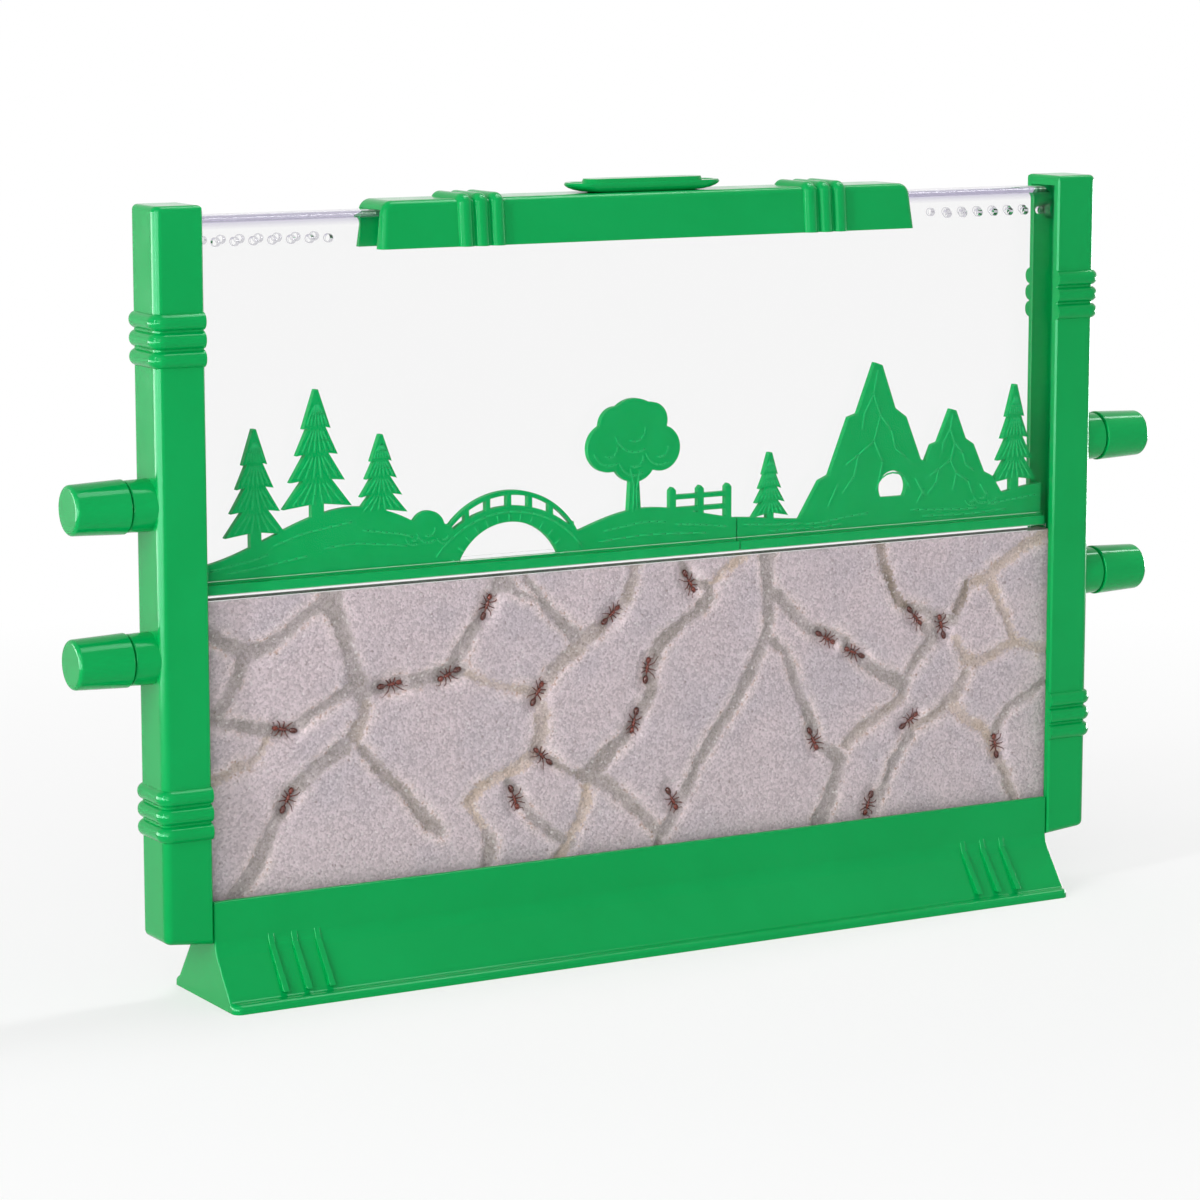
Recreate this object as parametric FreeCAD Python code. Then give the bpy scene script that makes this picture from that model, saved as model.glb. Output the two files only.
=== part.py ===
import FreeCAD, Part
import math
import os
from FreeCAD import Vector

# A flat ant habitat: two clear window halves hold a thin bed of sand between green end posts.
# The tank stands in the groove of a flared stand, a saddle lid closes the filling mouth, and
# four push-on caps close the tube ports. Millimetres, +Z up, origin at the centre of the
# stand's underside, front towards -Y.

# ---- clear view between the end posts
VIEW_WIDTH = 228.6
VIEW_HEIGHT = 152.4

# ---- clearances
SLIDE_GAP = 0.3        # between pieces that lift apart
SEAT_GAP = 0.1         # between pieces that stay together
PRESS_GAP = 0.05       # radial, between a cap and its spigot, or a peg and its socket

# ---- how far pieces of one moulding run into each other
MERGE = 0.5

# ---- stand
STAND_HEIGHT = 23.6
STAND_LIP = 1.3            # plastic on each side of the groove
UPRIGHT_HEIGHT = 11.0      # the upright face above the flare
FLARE_RUN = 7.7            # how far the flare spreads on each face
FLANGE_RUN = 2.8
FLANGE_HEIGHT = 2.1
FLANGE_EDGE = 1.2
FLANGE_CORNER = 2.0
FLARE_BLEND = 0.8          # hollow rounding where the flare meets the flange
KNEE_RADIUS = 6.0
STAND_EDGE = 0.4           # rounding of the stand's ends and lips
STAND_WALL = 2.0
GROOVE_DEPTH = 7.5         # how deep the tank stands in it
STAND_DECK = 2.0           # plastic under the groove
DECK_CORNER = 1.0          # bevel where the stand's wall meets its deck
MARK_INSET = 13.8          # outermost slanted mark, from the stand's end
MARK_PITCH = 5.75
MARK_WIDTH = 1.45
MARK_PROUD = 0.8           # at the top of the flare
MARK_FOOT_PROUD = 1.4      # and at its foot
MARK_RISE = 2.4            # the marks start this far above the flare
MARK_FOOT_RISE = 1.2       # and end this far above the flange
MARK_EDGE = 0.2
MARK_COUNT = 3

# ---- clear tank
TANK_DEPTH = 9.4
TANK_WALL = 1.6
RIM_HEIGHT = 1.8           # thickness of the tank's top and bottom strips
RIM_RADIUS = 2.7           # rounding of the top edge
POST_SEAT = 6.0            # length of window inside each post
VENT_RADIUS = 0.9
VENT_PITCH = 4.55
VENT_COUNT = 7
VENT_DROP = 5.8            # below the tank's top
VENT_INSET = 4.0           # first vent from the post
STUD_RADIUS = 2.5
STUD_INSET = 2.0           # stud axis, outside the view's edge
STUD_FOOT_RISE = 5.8       # lower stud axis above the tank's bottom
PEG_RADIUS = 1.2
PEG_LENGTH = 2.4
PEG_ROOT = 1.5
LEDGE_HEIGHT = 1.2
LEDGE_PROUD = 1.2
KEEPER_HEIGHT = 0.9
KEEPER_PROUD = 0.6

# ---- end posts
POST_WIDTH = 11.5
POST_CHEEK = 1.85          # plastic in front of the tank and behind it
POST_FLOOR = 2.1           # plastic below the tank
POST_ABOVE_TANK = 2.5
POST_CORNER = 1.8
POST_TOP_EDGE = 1.2
POST_FOOT_EDGE = 1.5
POST_FOOT_RISE = 1.2       # the post's underside climbs outwards by this
POST_LIP_EDGE = 0.4        # bevel of the post's edges beside the view
RIB_PITCH = 4.1
RIB_WIDTH = 3.9
RIB_PROUD = 1.2
RIB_ROUND = 1.85
RIB_COUNT = 3
LOW_BAND_RISE = 30.1       # band centre above the post's bottom
HIGH_BAND_DROP = 29.2      # band centre below the post's top

# ---- tube ports and caps
PORT_RISES = {"lower": 55.4, "upper": 89.4}    # axis above the stand's top
SPIGOT_RADIUS = 4.7
SPIGOT_WALL = 1.0
SPIGOT_LENGTH = 9.8
SPIGOT_EDGE = 0.4
COLLAR_STEP = 1.05         # the collar is this much larger in radius than the spigot
COLLAR_FLARE = 0.25        # and grows by this towards the post
COLLAR_LENGTH = 5.4
COLLAR_EDGE = 0.35
CAP_WALL = 1.35            # at the rim
CAP_TAPER = 0.5            # in radius, over the cap's length
CAP_LENGTH = 12.9
CAP_END_EDGE = 0.9
CAP_RIM_EDGE = 0.3
CAP_RIM_GAP = 0.4

# ---- lid
LID_INSET = 42.8           # from each post to the lid's lower edge
LID_ROOF = 2.0
LID_DROP = 8.7             # lower edge below the tank's top
LID_SIDE = 2.5             # side wall at its lower edge
LID_LAP = 10.5             # how far the lid reaches past each end of the mouth
LID_DRAFT = 1.1            # each side leans in by this over its height
LID_EDGE = 1.5
LID_END_EDGE = 2.8         # rounding of the top edge at each end of the lid
LID_RIB_INSET = 25.5       # band centre from the lid's end
MOUTH_RECESS = 0.9         # hollow under the lid over the mouth
TAB_LENGTH = 3.0
TAB_DROP = 4.0
PULL_LENGTH = 40.4
PULL_DEPTH = 9.2
PULL_HEIGHT = 2.3
PULL_UNDERCUT = 6.6
PULL_SIDE_UNDERCUT = 1.4
PULL_BAR_INSET = 4.2
PULL_BAR_RISE = 0.8
PULL_BAR_SLOPE = 0.6
PULL_DENT_RADIUS = 3.6     # of the ball that scoops each end of the rim
PULL_DENT_DEPTH = 0.7
PULL_DENT_INSET = 3.3

# the pull's side from its foot to its rim: share of its height, and share of the undercut left there
PULL_CURVE = [(0.0, 1.0), (0.1, 0.6), (0.25, 0.34), (0.45, 0.14), (0.65, 0.03), (0.82, 0.0), (1.0, 0.05)]

# ---- sand, tunnels and ants
SAND_RISE = 67.4           # sand's top above the stand's top
TUNNEL_DEPTH = 2.3
ANT_POCKET_RADIUS = 1.45
ANT_POCKET_REACH = 3.2
SAND_END = 1.5             # how far the sand reaches behind each post
SAND_FLOOR = 1.5           # undug sand below the tunnels

# ---- scenery
PLATE_THICKNESS = 1.6
FOOT_HEIGHT = 2.1
SPLIT_SHARE = 0.611        # where the two inserts meet, along the view
SPLIT_GAP = 0.4
ROOT = 3.0                 # how far a tree, post or peak runs down into the ground

# ---- worked out from the sizes above
VIEW_HALF = VIEW_WIDTH / 2
TANK_TOP = STAND_HEIGHT + VIEW_HEIGHT
TANK_BOTTOM = STAND_HEIGHT - GROOVE_DEPTH
TANK_HALF_DEPTH = TANK_DEPTH / 2
TANK_HALF_LENGTH = VIEW_HALF + POST_SEAT
BED_HALF_DEPTH = TANK_HALF_DEPTH - TANK_WALL
GROOVE_HALF_DEPTH = TANK_HALF_DEPTH + SLIDE_GAP
STAND_HALF_LENGTH = VIEW_HALF - SLIDE_GAP
STAND_HALF_DEPTH = GROOVE_HALF_DEPTH + STAND_LIP
STAND_KNEE_Z = STAND_HEIGHT - UPRIGHT_HEIGHT
FLARE_HALF_DEPTH = STAND_HALF_DEPTH + FLARE_RUN
FLARE_SLOPE = FLARE_RUN / (STAND_KNEE_Z - FLANGE_HEIGHT)
FLANGE_HALF_DEPTH = FLARE_HALF_DEPTH + FLANGE_RUN
MARK_TOP_Z = STAND_KNEE_Z + MARK_RISE
POST_SLOT_HALF_DEPTH = TANK_HALF_DEPTH + SEAT_GAP
POST_HALF_DEPTH = POST_SLOT_HALF_DEPTH + POST_CHEEK
POST_OUTER = VIEW_HALF + POST_WIDTH
POST_BOTTOM = TANK_BOTTOM - POST_FLOOR
POST_TOP = TANK_TOP + POST_ABOVE_TANK
END_WALL_X = TANK_HALF_LENGTH + SEAT_GAP
PORT_BORE_RADIUS = SPIGOT_RADIUS - SPIGOT_WALL
COLLAR_RADIUS = SPIGOT_RADIUS + COLLAR_STEP
COLLAR_END = POST_OUTER + COLLAR_LENGTH
SPIGOT_END = COLLAR_END + SPIGOT_LENGTH
CAP_SOCKET_RADIUS = SPIGOT_RADIUS + PRESS_GAP
CAP_RIM_RADIUS = CAP_SOCKET_RADIUS + CAP_WALL
CAP_RIM_X = COLLAR_END + CAP_RIM_GAP
CAP_END_X = CAP_RIM_X + CAP_LENGTH
SAND_TOP = STAND_HEIGHT + SAND_RISE
FOOT_HALF_DEPTH = BED_HALF_DEPTH - KEEPER_PROUD - SEAT_GAP / 2
FOOT_BOTTOM = SAND_TOP + LEDGE_HEIGHT + SEAT_GAP / 2
FOOT_TOP = FOOT_BOTTOM + FOOT_HEIGHT
VENT_Z = TANK_TOP - VENT_DROP
STUD_X = VIEW_HALF + STUD_INSET
STUD_HEIGHTS = (TANK_BOTTOM + STUD_FOOT_RISE, VENT_Z)
LID_BOTTOM = TANK_TOP - LID_DROP
LID_TOP = TANK_TOP + LID_ROOF
LID_HALF_LENGTH = VIEW_HALF - LID_INSET
LID_HALF_DEPTH = GROOVE_HALF_DEPTH + LID_SIDE
LID_RIB_CENTRE = LID_HALF_LENGTH - LID_RIB_INSET
MOUTH_HALF = LID_HALF_LENGTH - LID_LAP

# ---- the tunnels: a radius and a chain of points, each in thousandths of the view's width
# and of the sand's visible depth, from its lower left corner
WIDE = 2.1
MIDDLE = 1.8
NARROW = 1.5
TUNNELS = [
    (WIDE, [(-22, 835), (0, 880), (45, 810), (120, 915), (140, 1010)]),
    (MIDDLE, [(45, 810), (25, 680), (0, 635)]),
    (WIDE, [(140, 1010), (152, 790), (172, 665), (205, 660), (270, 680), (285, 760), (312, 880),
            (330, 1010)]),
    (WIDE, [(330, 1010), (368, 930), (411, 760), (463, 845), (486, 1010)]),
    (NARROW, [(411, 760), (375, 597)]),
    (MIDDLE, [(275, 700), (300, 640), (346, 606), (375, 597), (374, 410), (364, 375), (420, 280),
              (463, 220)]),
    (MIDDLE, [(420, 280), (463, 380), (482, 430), (500, 600), (521, 710), (563, 812), (566, 880),
              (543, 1010)]),
    (NARROW, [(566, 880), (600, 950), (618, 1010)]),
    (MIDDLE, [(364, 375), (323, 282), (291, 238), (314, 123), (311, -120)]),
    (NARROW, [(332, 293), (362, 182), (400, 70), (387, -120)]),
    (NARROW, [(400, 70), (427, 189), (420, 280)]),
    (WIDE, [(172, 661), (157, 476), (106, 370), (78, 269), (63, 151), (30, -12), (20, -120)]),
    (WIDE, [(157, 476), (206, 324), (250, 155)]),
    (MIDDLE, [(157, 655), (106, 551), (66, 554), (0, 622)]),
    (NARROW, [(78, 540), (51, 466), (0, 380)]),
    (MIDDLE, [(434, 267), (463, 200), (513, 59), (505, -120)]),
    (MIDDLE, [(642, 1010), (648, 683), (625, 565), (563, 289), (533, 119), (513, 59)]),
    (NARROW, [(657, 807), (697, 705), (752, 617), (785, 526), (814, 496)]),
    (NARROW, [(648, 683), (668, 620), (688, 452), (704, 298), (724, 222), (728, 105), (704, -120)]),
    (MIDDLE, [(724, 222), (756, 317), (810, 380), (814, 496)]),
    (MIDDLE, [(785, 1010), (799, 826), (834, 724), (855, 693), (842, 590), (814, 496)]),
    (WIDE, [(855, 693), (876, 713), (897, 799), (926, 829), (1000, 955), (1022, 850)]),
    (MIDDLE, [(926, 829), (943, 694), (955, 593)]),
    (MIDDLE, [(855, 693), (888, 576), (901, 517), (955, 586), (976, 576), (1000, 525)]),
    (MIDDLE, [(901, 517), (888, 425), (872, 359), (830, 314), (797, 150), (769, 10), (760, -120)]),
    (NARROW, [(880, 346), (918, 285), (939, 148), (955, -120)]),
    (NARROW, [(1000, 436), (964, 352), (939, 278)]),
]

# ---- the ants: place in the same thousandths, and the way the head points in degrees from +X
ANTS = [
    (202, 661, 8), (271, 678, -158), (370, 575, 60), (312, 893, 68), (378, 352, 138),
    (343, 226, -70), (88, 545, 168), (88, 300, 62), (550, 925, -60), (500, 617, 80),
    (485, 450, -105), (530, 154, -62), (718, 675, -30), (757, 606, 155), (704, 311, -65),
    (832, 722, -48), (868, 668, 105), (826, 334, 34), (941, 200, 100), (776, 50, -110),
    (456, 826, 40),
]

# ---- an ant's outline from gaster to head: places along its body and its radius there
ANT_OUTLINE = [
    (-3.15, 0), (-2.9, 0.5), (-1.95, 0.9), (-0.9, 0.55), (-0.4, 0.28), (0.1, 0.42), (0.9, 0.62),
    (1.7, 0.4), (1.95, 0.3), (2.25, 0.5), (2.7, 0.75), (3.2, 0.45), (3.35, 0),
]

# ---- scenery motifs: place as a share of the insert, root above its foot, then their sizes
LEFT_HILLS = [4.0, 7.5, 12.5, 15.0, 12.0, 5.5, 3.0, 3.2, 7.0, 9.5, 8.0, 5.5]
LEFT_FIRS = [(0.10, 7.0, 27.0, 15.0), (0.21, 12.0, 30.0, 17.0), (0.325, 11.0, 20.0, 13.0)]
LEFT_BUSH = (0.41, 6.5, 4.2)
BRIDGE_SHARE = 0.56
BRIDGE_ARCH = (0.6, 13.0, 8.2)             # springing above the foot, half width, rise
BROADLEAF = (0.80, 8.5, 27.0)
FENCE_ENDS = (0.875, 0.985)
FENCE_ROOT = 5.5
RIGHT_HILLS = [5.5, 4.5, 4.0, 6.0, 7.0, 6.0, 5.0, 6.5, 8.0]
RIGHT_FIRS = [(0.105, 3.5, 17.0, 10.0), (0.91, 6.0, 27.0, 13.0)]
PEAKS = [(0.45, 2.5, 23.0, 38.0), (0.70, 3.0, 17.0, 25.0)]
RIGHT_BUSH = (0.80, 5.0, 3.6)
CAVE = (0.50, 7.5, 3.4, 6.4)


def box(x0, x1, y0, y1, z0, z1):
    """A block between two corners."""
    return Part.makeBox(x1 - x0, y1 - y0, z1 - z0, Vector(x0, y0, z0))


def rod_x(x0, x1, radius, y, z):
    """A cylinder along X."""
    return Part.makeCylinder(radius, x1 - x0, Vector(x0, y, z), Vector(1, 0, 0))


def rod_y(x, y0, y1, z, radius):
    """A cylinder along Y."""
    return Part.makeCylinder(radius, y1 - y0, Vector(x, y0, z), Vector(0, 1, 0))


def prism_x(outline, x0, x1):
    """An outline of (y, z) points, drawn out along X."""
    points = [Vector(x0, y, z) for y, z in outline]
    return Part.Face(Part.makePolygon(points + points[:1])).extrude(Vector(x1 - x0, 0, 0))


def prism_y(outline, y0, y1):
    """An outline of (x, z) points, drawn out along Y."""
    points = [Vector(x, y0, z) for x, z in outline]
    return Part.Face(Part.makePolygon(points + points[:1])).extrude(Vector(0, y1 - y0, 0))


def mirror_x(shape):
    """The same shape on the other end of the habitat."""
    return shape.mirror(Vector(0, 0, 0), Vector(1, 0, 0))


def mirror_y(shape):
    """The same shape on the other face of the habitat."""
    return shape.mirror(Vector(0, 0, 0), Vector(0, 1, 0))


def join(shapes):
    """One solid from touching pieces, with no seams left on its faces."""
    return shapes[0].multiFuse(shapes[1:]).removeSplitter()


def edges_where(shape, test):
    """The edges whose every end and middle point passes the test."""
    chosen = []
    for edge in shape.Edges:
        first, last = edge.ParameterRange
        points = [edge.valueAt(first + share * (last - first)) for share in (0.0, 0.5, 1.0)]
        if all(test(point) for point in points):
            chosen.append(edge)
    return chosen


def near(a, b):
    """True where two lengths are the same."""
    return abs(a - b) < 1e-4


def stand_flange():
    """The thin plate that the stand spreads out to, rounded at its corners and along its top."""
    plate_block = box(-STAND_HALF_LENGTH, STAND_HALF_LENGTH, -FLANGE_HALF_DEPTH, FLANGE_HALF_DEPTH,
                      0, FLANGE_HEIGHT)
    corners = edges_where(plate_block, lambda p: near(abs(p.x), STAND_HALF_LENGTH)
                          and near(abs(p.y), FLANGE_HALF_DEPTH))
    plate_block = plate_block.makeFillet(FLANGE_CORNER, corners)
    return plate_block.makeFillet(FLANGE_EDGE, edges_where(plate_block, lambda p: near(p.z, FLANGE_HEIGHT)))


def stand_block():
    """The stand's outer form: upright at the top, then flared out to the flange."""
    sunk_z = FLANGE_HEIGHT / 2
    sunk_y = FLARE_HALF_DEPTH + FLARE_SLOPE * (FLANGE_HEIGHT - sunk_z)
    outline = [
        (0, sunk_z), (sunk_y, sunk_z), (STAND_HALF_DEPTH, STAND_KNEE_Z),
        (STAND_HALF_DEPTH, STAND_HEIGHT), (0, STAND_HEIGHT),
    ]
    half = prism_x(outline, -STAND_HALF_LENGTH, STAND_HALF_LENGTH)
    body = join([half, mirror_y(half)])
    knee = edges_where(body, lambda p: near(p.z, STAND_KNEE_Z) and near(abs(p.y), STAND_HALF_DEPTH))
    body = body.makeFillet(KNEE_RADIUS, knee)
    rims = edges_where(body, lambda p: near(p.z, STAND_HEIGHT) or near(abs(p.x), STAND_HALF_LENGTH)
                       and abs(p.y) > STAND_HALF_DEPTH - 1e-3)
    block = join([body.makeFillet(STAND_EDGE, rims), stand_flange()])
    creases = edges_where(block, lambda p: near(p.z, FLANGE_HEIGHT) and near(abs(p.y), FLARE_HALF_DEPTH))
    return block.makeFillet(FLARE_BLEND, creases)


def stand_marks():
    """The slanted raised marks that run down each end of both faces, prouder towards their feet."""
    first = STAND_HALF_LENGTH - MARK_INSET
    inner_y = STAND_HALF_DEPTH - MERGE
    foot_z = FLANGE_HEIGHT + MARK_FOOT_RISE
    foot_y = STAND_HALF_DEPTH + FLARE_SLOPE * (STAND_KNEE_Z - foot_z)
    outline = [
        (inner_y, MARK_TOP_Z), (STAND_HALF_DEPTH, MARK_TOP_Z), (STAND_HALF_DEPTH + MARK_PROUD, STAND_KNEE_Z),
        (foot_y + MARK_FOOT_PROUD, foot_z), (foot_y - MERGE, foot_z), (inner_y, STAND_KNEE_Z - MERGE),
    ]
    marks = []
    for number in range(MARK_COUNT):
        x = first - number * MARK_PITCH
        mark = prism_x(outline, x - MARK_WIDTH / 2, x + MARK_WIDTH / 2)
        crest = edges_where(mark, lambda p: near(abs(p.x - x), MARK_WIDTH / 2)
                            and p.y > STAND_HALF_DEPTH + FLARE_SLOPE * max(0, STAND_KNEE_Z - p.z) - 1e-3)
        mark = mark.makeFillet(MARK_EDGE, crest)
        marks += [mark, mirror_x(mark), mirror_y(mark), mirror_x(mirror_y(mark))]
    return marks


def stand_cave():
    """The hollow under the stand, between its end walls."""
    ceiling = TANK_BOTTOM - STAND_DECK
    flare_y = FLARE_HALF_DEPTH - STAND_WALL
    deck_y = STAND_HALF_DEPTH - STAND_WALL
    outline = [
        (0, -1), (flare_y + 1, -1), (flare_y, FLANGE_HEIGHT), (deck_y + DECK_CORNER, ceiling - DECK_CORNER),
        (deck_y, ceiling), (0, ceiling),
    ]
    half = prism_x(outline, STAND_WALL - STAND_HALF_LENGTH, STAND_HALF_LENGTH - STAND_WALL)
    return join([half, mirror_y(half)])


def base_stand():
    """The flared stand: hollow below, with a groove along its top for the tank."""
    body = join([stand_block()] + stand_marks())
    groove = box(-VIEW_HALF - 1, VIEW_HALF + 1, -GROOVE_HALF_DEPTH, GROOVE_HALF_DEPTH,
                 TANK_BOTTOM, STAND_HEIGHT + 1)
    return body.cut(stand_cave()).cut(groove)


def vent_row(side):
    """The vents of one end of a window, as rods to cut."""
    rods = []
    for number in range(VENT_COUNT):
        x = side * (VIEW_HALF - VENT_INSET - number * VENT_PITCH)
        rods.append(rod_y(x, -TANK_HALF_DEPTH - 1, -BED_HALF_DEPTH + 1, VENT_Z, VENT_RADIUS))
    return rods


def window_shell():
    """The front half of the clear tank without pegs: a sheet, its rims, ledges and studs."""
    joint_y = -SEAT_GAP / 2
    crest_z = TANK_TOP - RIM_RADIUS - MERGE
    pieces = [
        box(-TANK_HALF_LENGTH, TANK_HALF_LENGTH, -TANK_HALF_DEPTH, -BED_HALF_DEPTH, TANK_BOTTOM, crest_z),
        box(-MOUTH_HALF, MOUTH_HALF, -TANK_HALF_DEPTH, -BED_HALF_DEPTH, crest_z, TANK_TOP),
        box(-TANK_HALF_LENGTH, TANK_HALF_LENGTH, -TANK_HALF_DEPTH, joint_y,
            TANK_BOTTOM, TANK_BOTTOM + RIM_HEIGHT),
    ]
    for side in (-1, 1):
        near_x, far_x = sorted((side * MOUTH_HALF, side * TANK_HALF_LENGTH))
        rim = box(near_x, far_x, -TANK_HALF_DEPTH, joint_y, crest_z, TANK_TOP)
        crest = edges_where(rim, lambda p: near(p.z, TANK_TOP) and near(p.y, -TANK_HALF_DEPTH))
        rim = rim.makeFillet(RIM_RADIUS, crest)
        hollow = box(near_x - 1, far_x + 1, -BED_HALF_DEPTH, 1, crest_z - 1, TANK_TOP - RIM_HEIGHT)
        pieces.append(rim.cut(hollow))
    shell = join(pieces)

    ledge_y = -BED_HALF_DEPTH + LEDGE_PROUD
    keeper_y = -BED_HALF_DEPTH + KEEPER_PROUD
    keeper_z = FOOT_TOP + SEAT_GAP
    wall_middle = -BED_HALF_DEPTH - TANK_WALL / 2
    ledge = box(-VIEW_HALF, VIEW_HALF, wall_middle, ledge_y, SAND_TOP, SAND_TOP + LEDGE_HEIGHT)
    keeper = box(-VIEW_HALF, VIEW_HALF, wall_middle, keeper_y, keeper_z, keeper_z + KEEPER_HEIGHT)
    studs = [rod_y(x, wall_middle, joint_y, z, STUD_RADIUS) for x in (-STUD_X, STUD_X) for z in STUD_HEIGHTS]
    shell = join([shell, ledge, keeper] + studs)
    for vent in vent_row(-1) + vent_row(1):
        shell = shell.cut(vent)
    return shell


def window_pegs(radius, reach):
    """The pegs, or their sockets, on the axes of the four studs."""
    return [rod_y(x, -PEG_ROOT, reach, z, radius) for x in (-STUD_X, STUD_X) for z in STUD_HEIGHTS]


def front_window():
    """The front half of the clear tank, with its locating pegs."""
    return join([window_shell()] + window_pegs(PEG_RADIUS, PEG_LENGTH))


def back_window():
    """The back half of the clear tank, with sockets for the pegs."""
    half = mirror_y(window_shell())
    for socket in window_pegs(PEG_RADIUS + PRESS_GAP, PEG_LENGTH + SEAT_GAP):
        half = half.cut(socket)
    return half


def post_outline(grow, z):
    """The right post's section at a height, rounded at its outer corners and grown outwards."""
    inner, outer = VIEW_HALF, POST_OUTER + grow
    half, radius = POST_HALF_DEPTH + grow, POST_CORNER + grow
    bend = radius * (1 - math.sqrt(0.5))
    lines = [
        Part.makeLine(Vector(inner, half, z), Vector(inner, -half, z)),
        Part.makeLine(Vector(inner, -half, z), Vector(outer - radius, -half, z)),
        Part.Arc(Vector(outer - radius, -half, z), Vector(outer - bend, -half + bend, z),
                 Vector(outer, -half + radius, z)).toShape(),
        Part.makeLine(Vector(outer, -half + radius, z), Vector(outer, half - radius, z)),
        Part.Arc(Vector(outer, half - radius, z), Vector(outer - bend, half - bend, z),
                 Vector(outer - radius, half, z)).toShape(),
        Part.makeLine(Vector(outer - radius, half, z), Vector(inner, half, z)),
    ]
    return Part.Face(Part.Wire(lines))


def post_lip(side):
    """The wedge that bevels the right post's front or back edge beside the view."""
    corners = [(VIEW_HALF - 1, POST_HALF_DEPTH - POST_LIP_EDGE - 1),
               (VIEW_HALF + POST_LIP_EDGE + 1, POST_HALF_DEPTH + 1), (VIEW_HALF - 1, POST_HALF_DEPTH + 1)]
    points = [Vector(x, side * y, POST_BOTTOM - 1) for x, y in corners]
    face = Part.Face(Part.makePolygon(points + points[:1]))
    return face.extrude(Vector(0, 0, POST_TOP - POST_BOTTOM + 2))


def post_rib(middle_z):
    """One rounded rib round the front, side and back of the right post."""
    low, high = middle_z - RIB_WIDTH / 2, middle_z + RIB_WIDTH / 2
    rib = post_outline(RIB_PROUD, low).extrude(Vector(0, 0, RIB_WIDTH))
    crest = edges_where(rib, lambda p: (near(p.z, low) or near(p.z, high)))
    crest = [edge for edge in crest if edge.BoundBox.XMax > VIEW_HALF + 0.1]
    return rib.makeFillet(RIB_ROUND, crest)


def port_collar(height):
    """The root, collar and spigot of one tube port on the right post."""
    start = POST_OUTER - POST_CORNER - 2 * MERGE
    root = Part.makeCone(COLLAR_RADIUS + COLLAR_FLARE, COLLAR_RADIUS, COLLAR_END - start,
                         Vector(start, 0, height), Vector(1, 0, 0))
    root = root.makeFillet(COLLAR_EDGE, edges_where(root, lambda p: near(p.x, COLLAR_END)))
    spigot = rod_x(END_WALL_X + MERGE, SPIGOT_END, SPIGOT_RADIUS, 0, height)
    spigot = spigot.makeChamfer(SPIGOT_EDGE, edges_where(spigot, lambda p: near(p.x, SPIGOT_END)))
    return [root, spigot]


def right_post():
    """The right end post: a green channel over the tank's end, with ribs and two tube ports."""
    height = POST_TOP - POST_BOTTOM
    body = post_outline(0, POST_BOTTOM).extrude(Vector(0, 0, height))
    crown = edges_where(body, lambda p: near(p.z, POST_TOP))
    body = body.makeFillet(POST_TOP_EDGE, crown)
    wedge = [
        (VIEW_HALF - 1, POST_BOTTOM - 1), (POST_OUTER + 1, POST_BOTTOM - 1),
        (POST_OUTER + 1, POST_BOTTOM + POST_FOOT_RISE), (VIEW_HALF, POST_BOTTOM),
        (VIEW_HALF - 1, POST_BOTTOM),
    ]
    body = body.cut(prism_y(wedge, -POST_HALF_DEPTH - 1, POST_HALF_DEPTH + 1))
    sole = edges_where(body, lambda p: p.z < POST_BOTTOM + POST_FOOT_RISE + 0.1)
    sole = [edge for edge in sole if edge.BoundBox.XMax > VIEW_HALF + 0.1]
    body = body.makeFillet(POST_FOOT_EDGE, sole)
    for side in (-1, 1):
        body = body.cut(post_lip(side))
    pieces = [body]
    for centre in (POST_BOTTOM + LOW_BAND_RISE, POST_TOP - HIGH_BAND_DROP):
        for number in range(RIB_COUNT):
            pieces.append(post_rib(centre + (number - (RIB_COUNT - 1) / 2) * RIB_PITCH))
    for rise in PORT_RISES.values():
        pieces += port_collar(STAND_HEIGHT + rise)
    post = join(pieces)
    post = post.cut(box(VIEW_HALF - 1, END_WALL_X, -POST_SLOT_HALF_DEPTH, POST_SLOT_HALF_DEPTH,
                        TANK_BOTTOM - SEAT_GAP, TANK_TOP + SEAT_GAP))
    for rise in PORT_RISES.values():
        post = post.cut(rod_x(END_WALL_X - 1, SPIGOT_END + 1, PORT_BORE_RADIUS, 0, STAND_HEIGHT + rise))
    return post


def port_cap(height):
    """A tapered push-on cap for one port of the right post."""
    taper = Part.makeCone(CAP_RIM_RADIUS, CAP_RIM_RADIUS - CAP_TAPER, CAP_LENGTH,
                          Vector(CAP_RIM_X, 0, height), Vector(1, 0, 0))
    taper = taper.makeFillet(CAP_END_EDGE, edges_where(taper, lambda p: near(p.x, CAP_END_X)))
    taper = taper.makeFillet(CAP_RIM_EDGE, edges_where(taper, lambda p: near(p.x, CAP_RIM_X)))
    return taper.cut(rod_x(CAP_RIM_X - 1, SPIGOT_END + SLIDE_GAP * 2, CAP_SOCKET_RADIUS, 0, height))


def lid_block(grow, x0, x1, radius):
    """The lid's outer form between two ends: sides lean in, top edges rounded."""
    low, high = LID_HALF_DEPTH + grow, LID_HALF_DEPTH + grow - LID_DRAFT
    outline = [(-low, LID_BOTTOM), (low, LID_BOTTOM), (high, LID_TOP + grow), (-high, LID_TOP + grow)]
    block = prism_x(outline, x0, x1)
    shoulders = edges_where(block, lambda p: near(p.z, LID_TOP + grow) and near(abs(p.y), high))
    return block.makeFillet(radius, shoulders)


def rectangle(half_length, half_depth, z):
    """A flat rectangular wire, centred on the lid."""
    corners = [(-1, -1), (1, -1), (1, 1), (-1, 1), (-1, -1)]
    return Part.makePolygon([Vector(x * half_length, y * half_depth, z) for x, y in corners])


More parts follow.
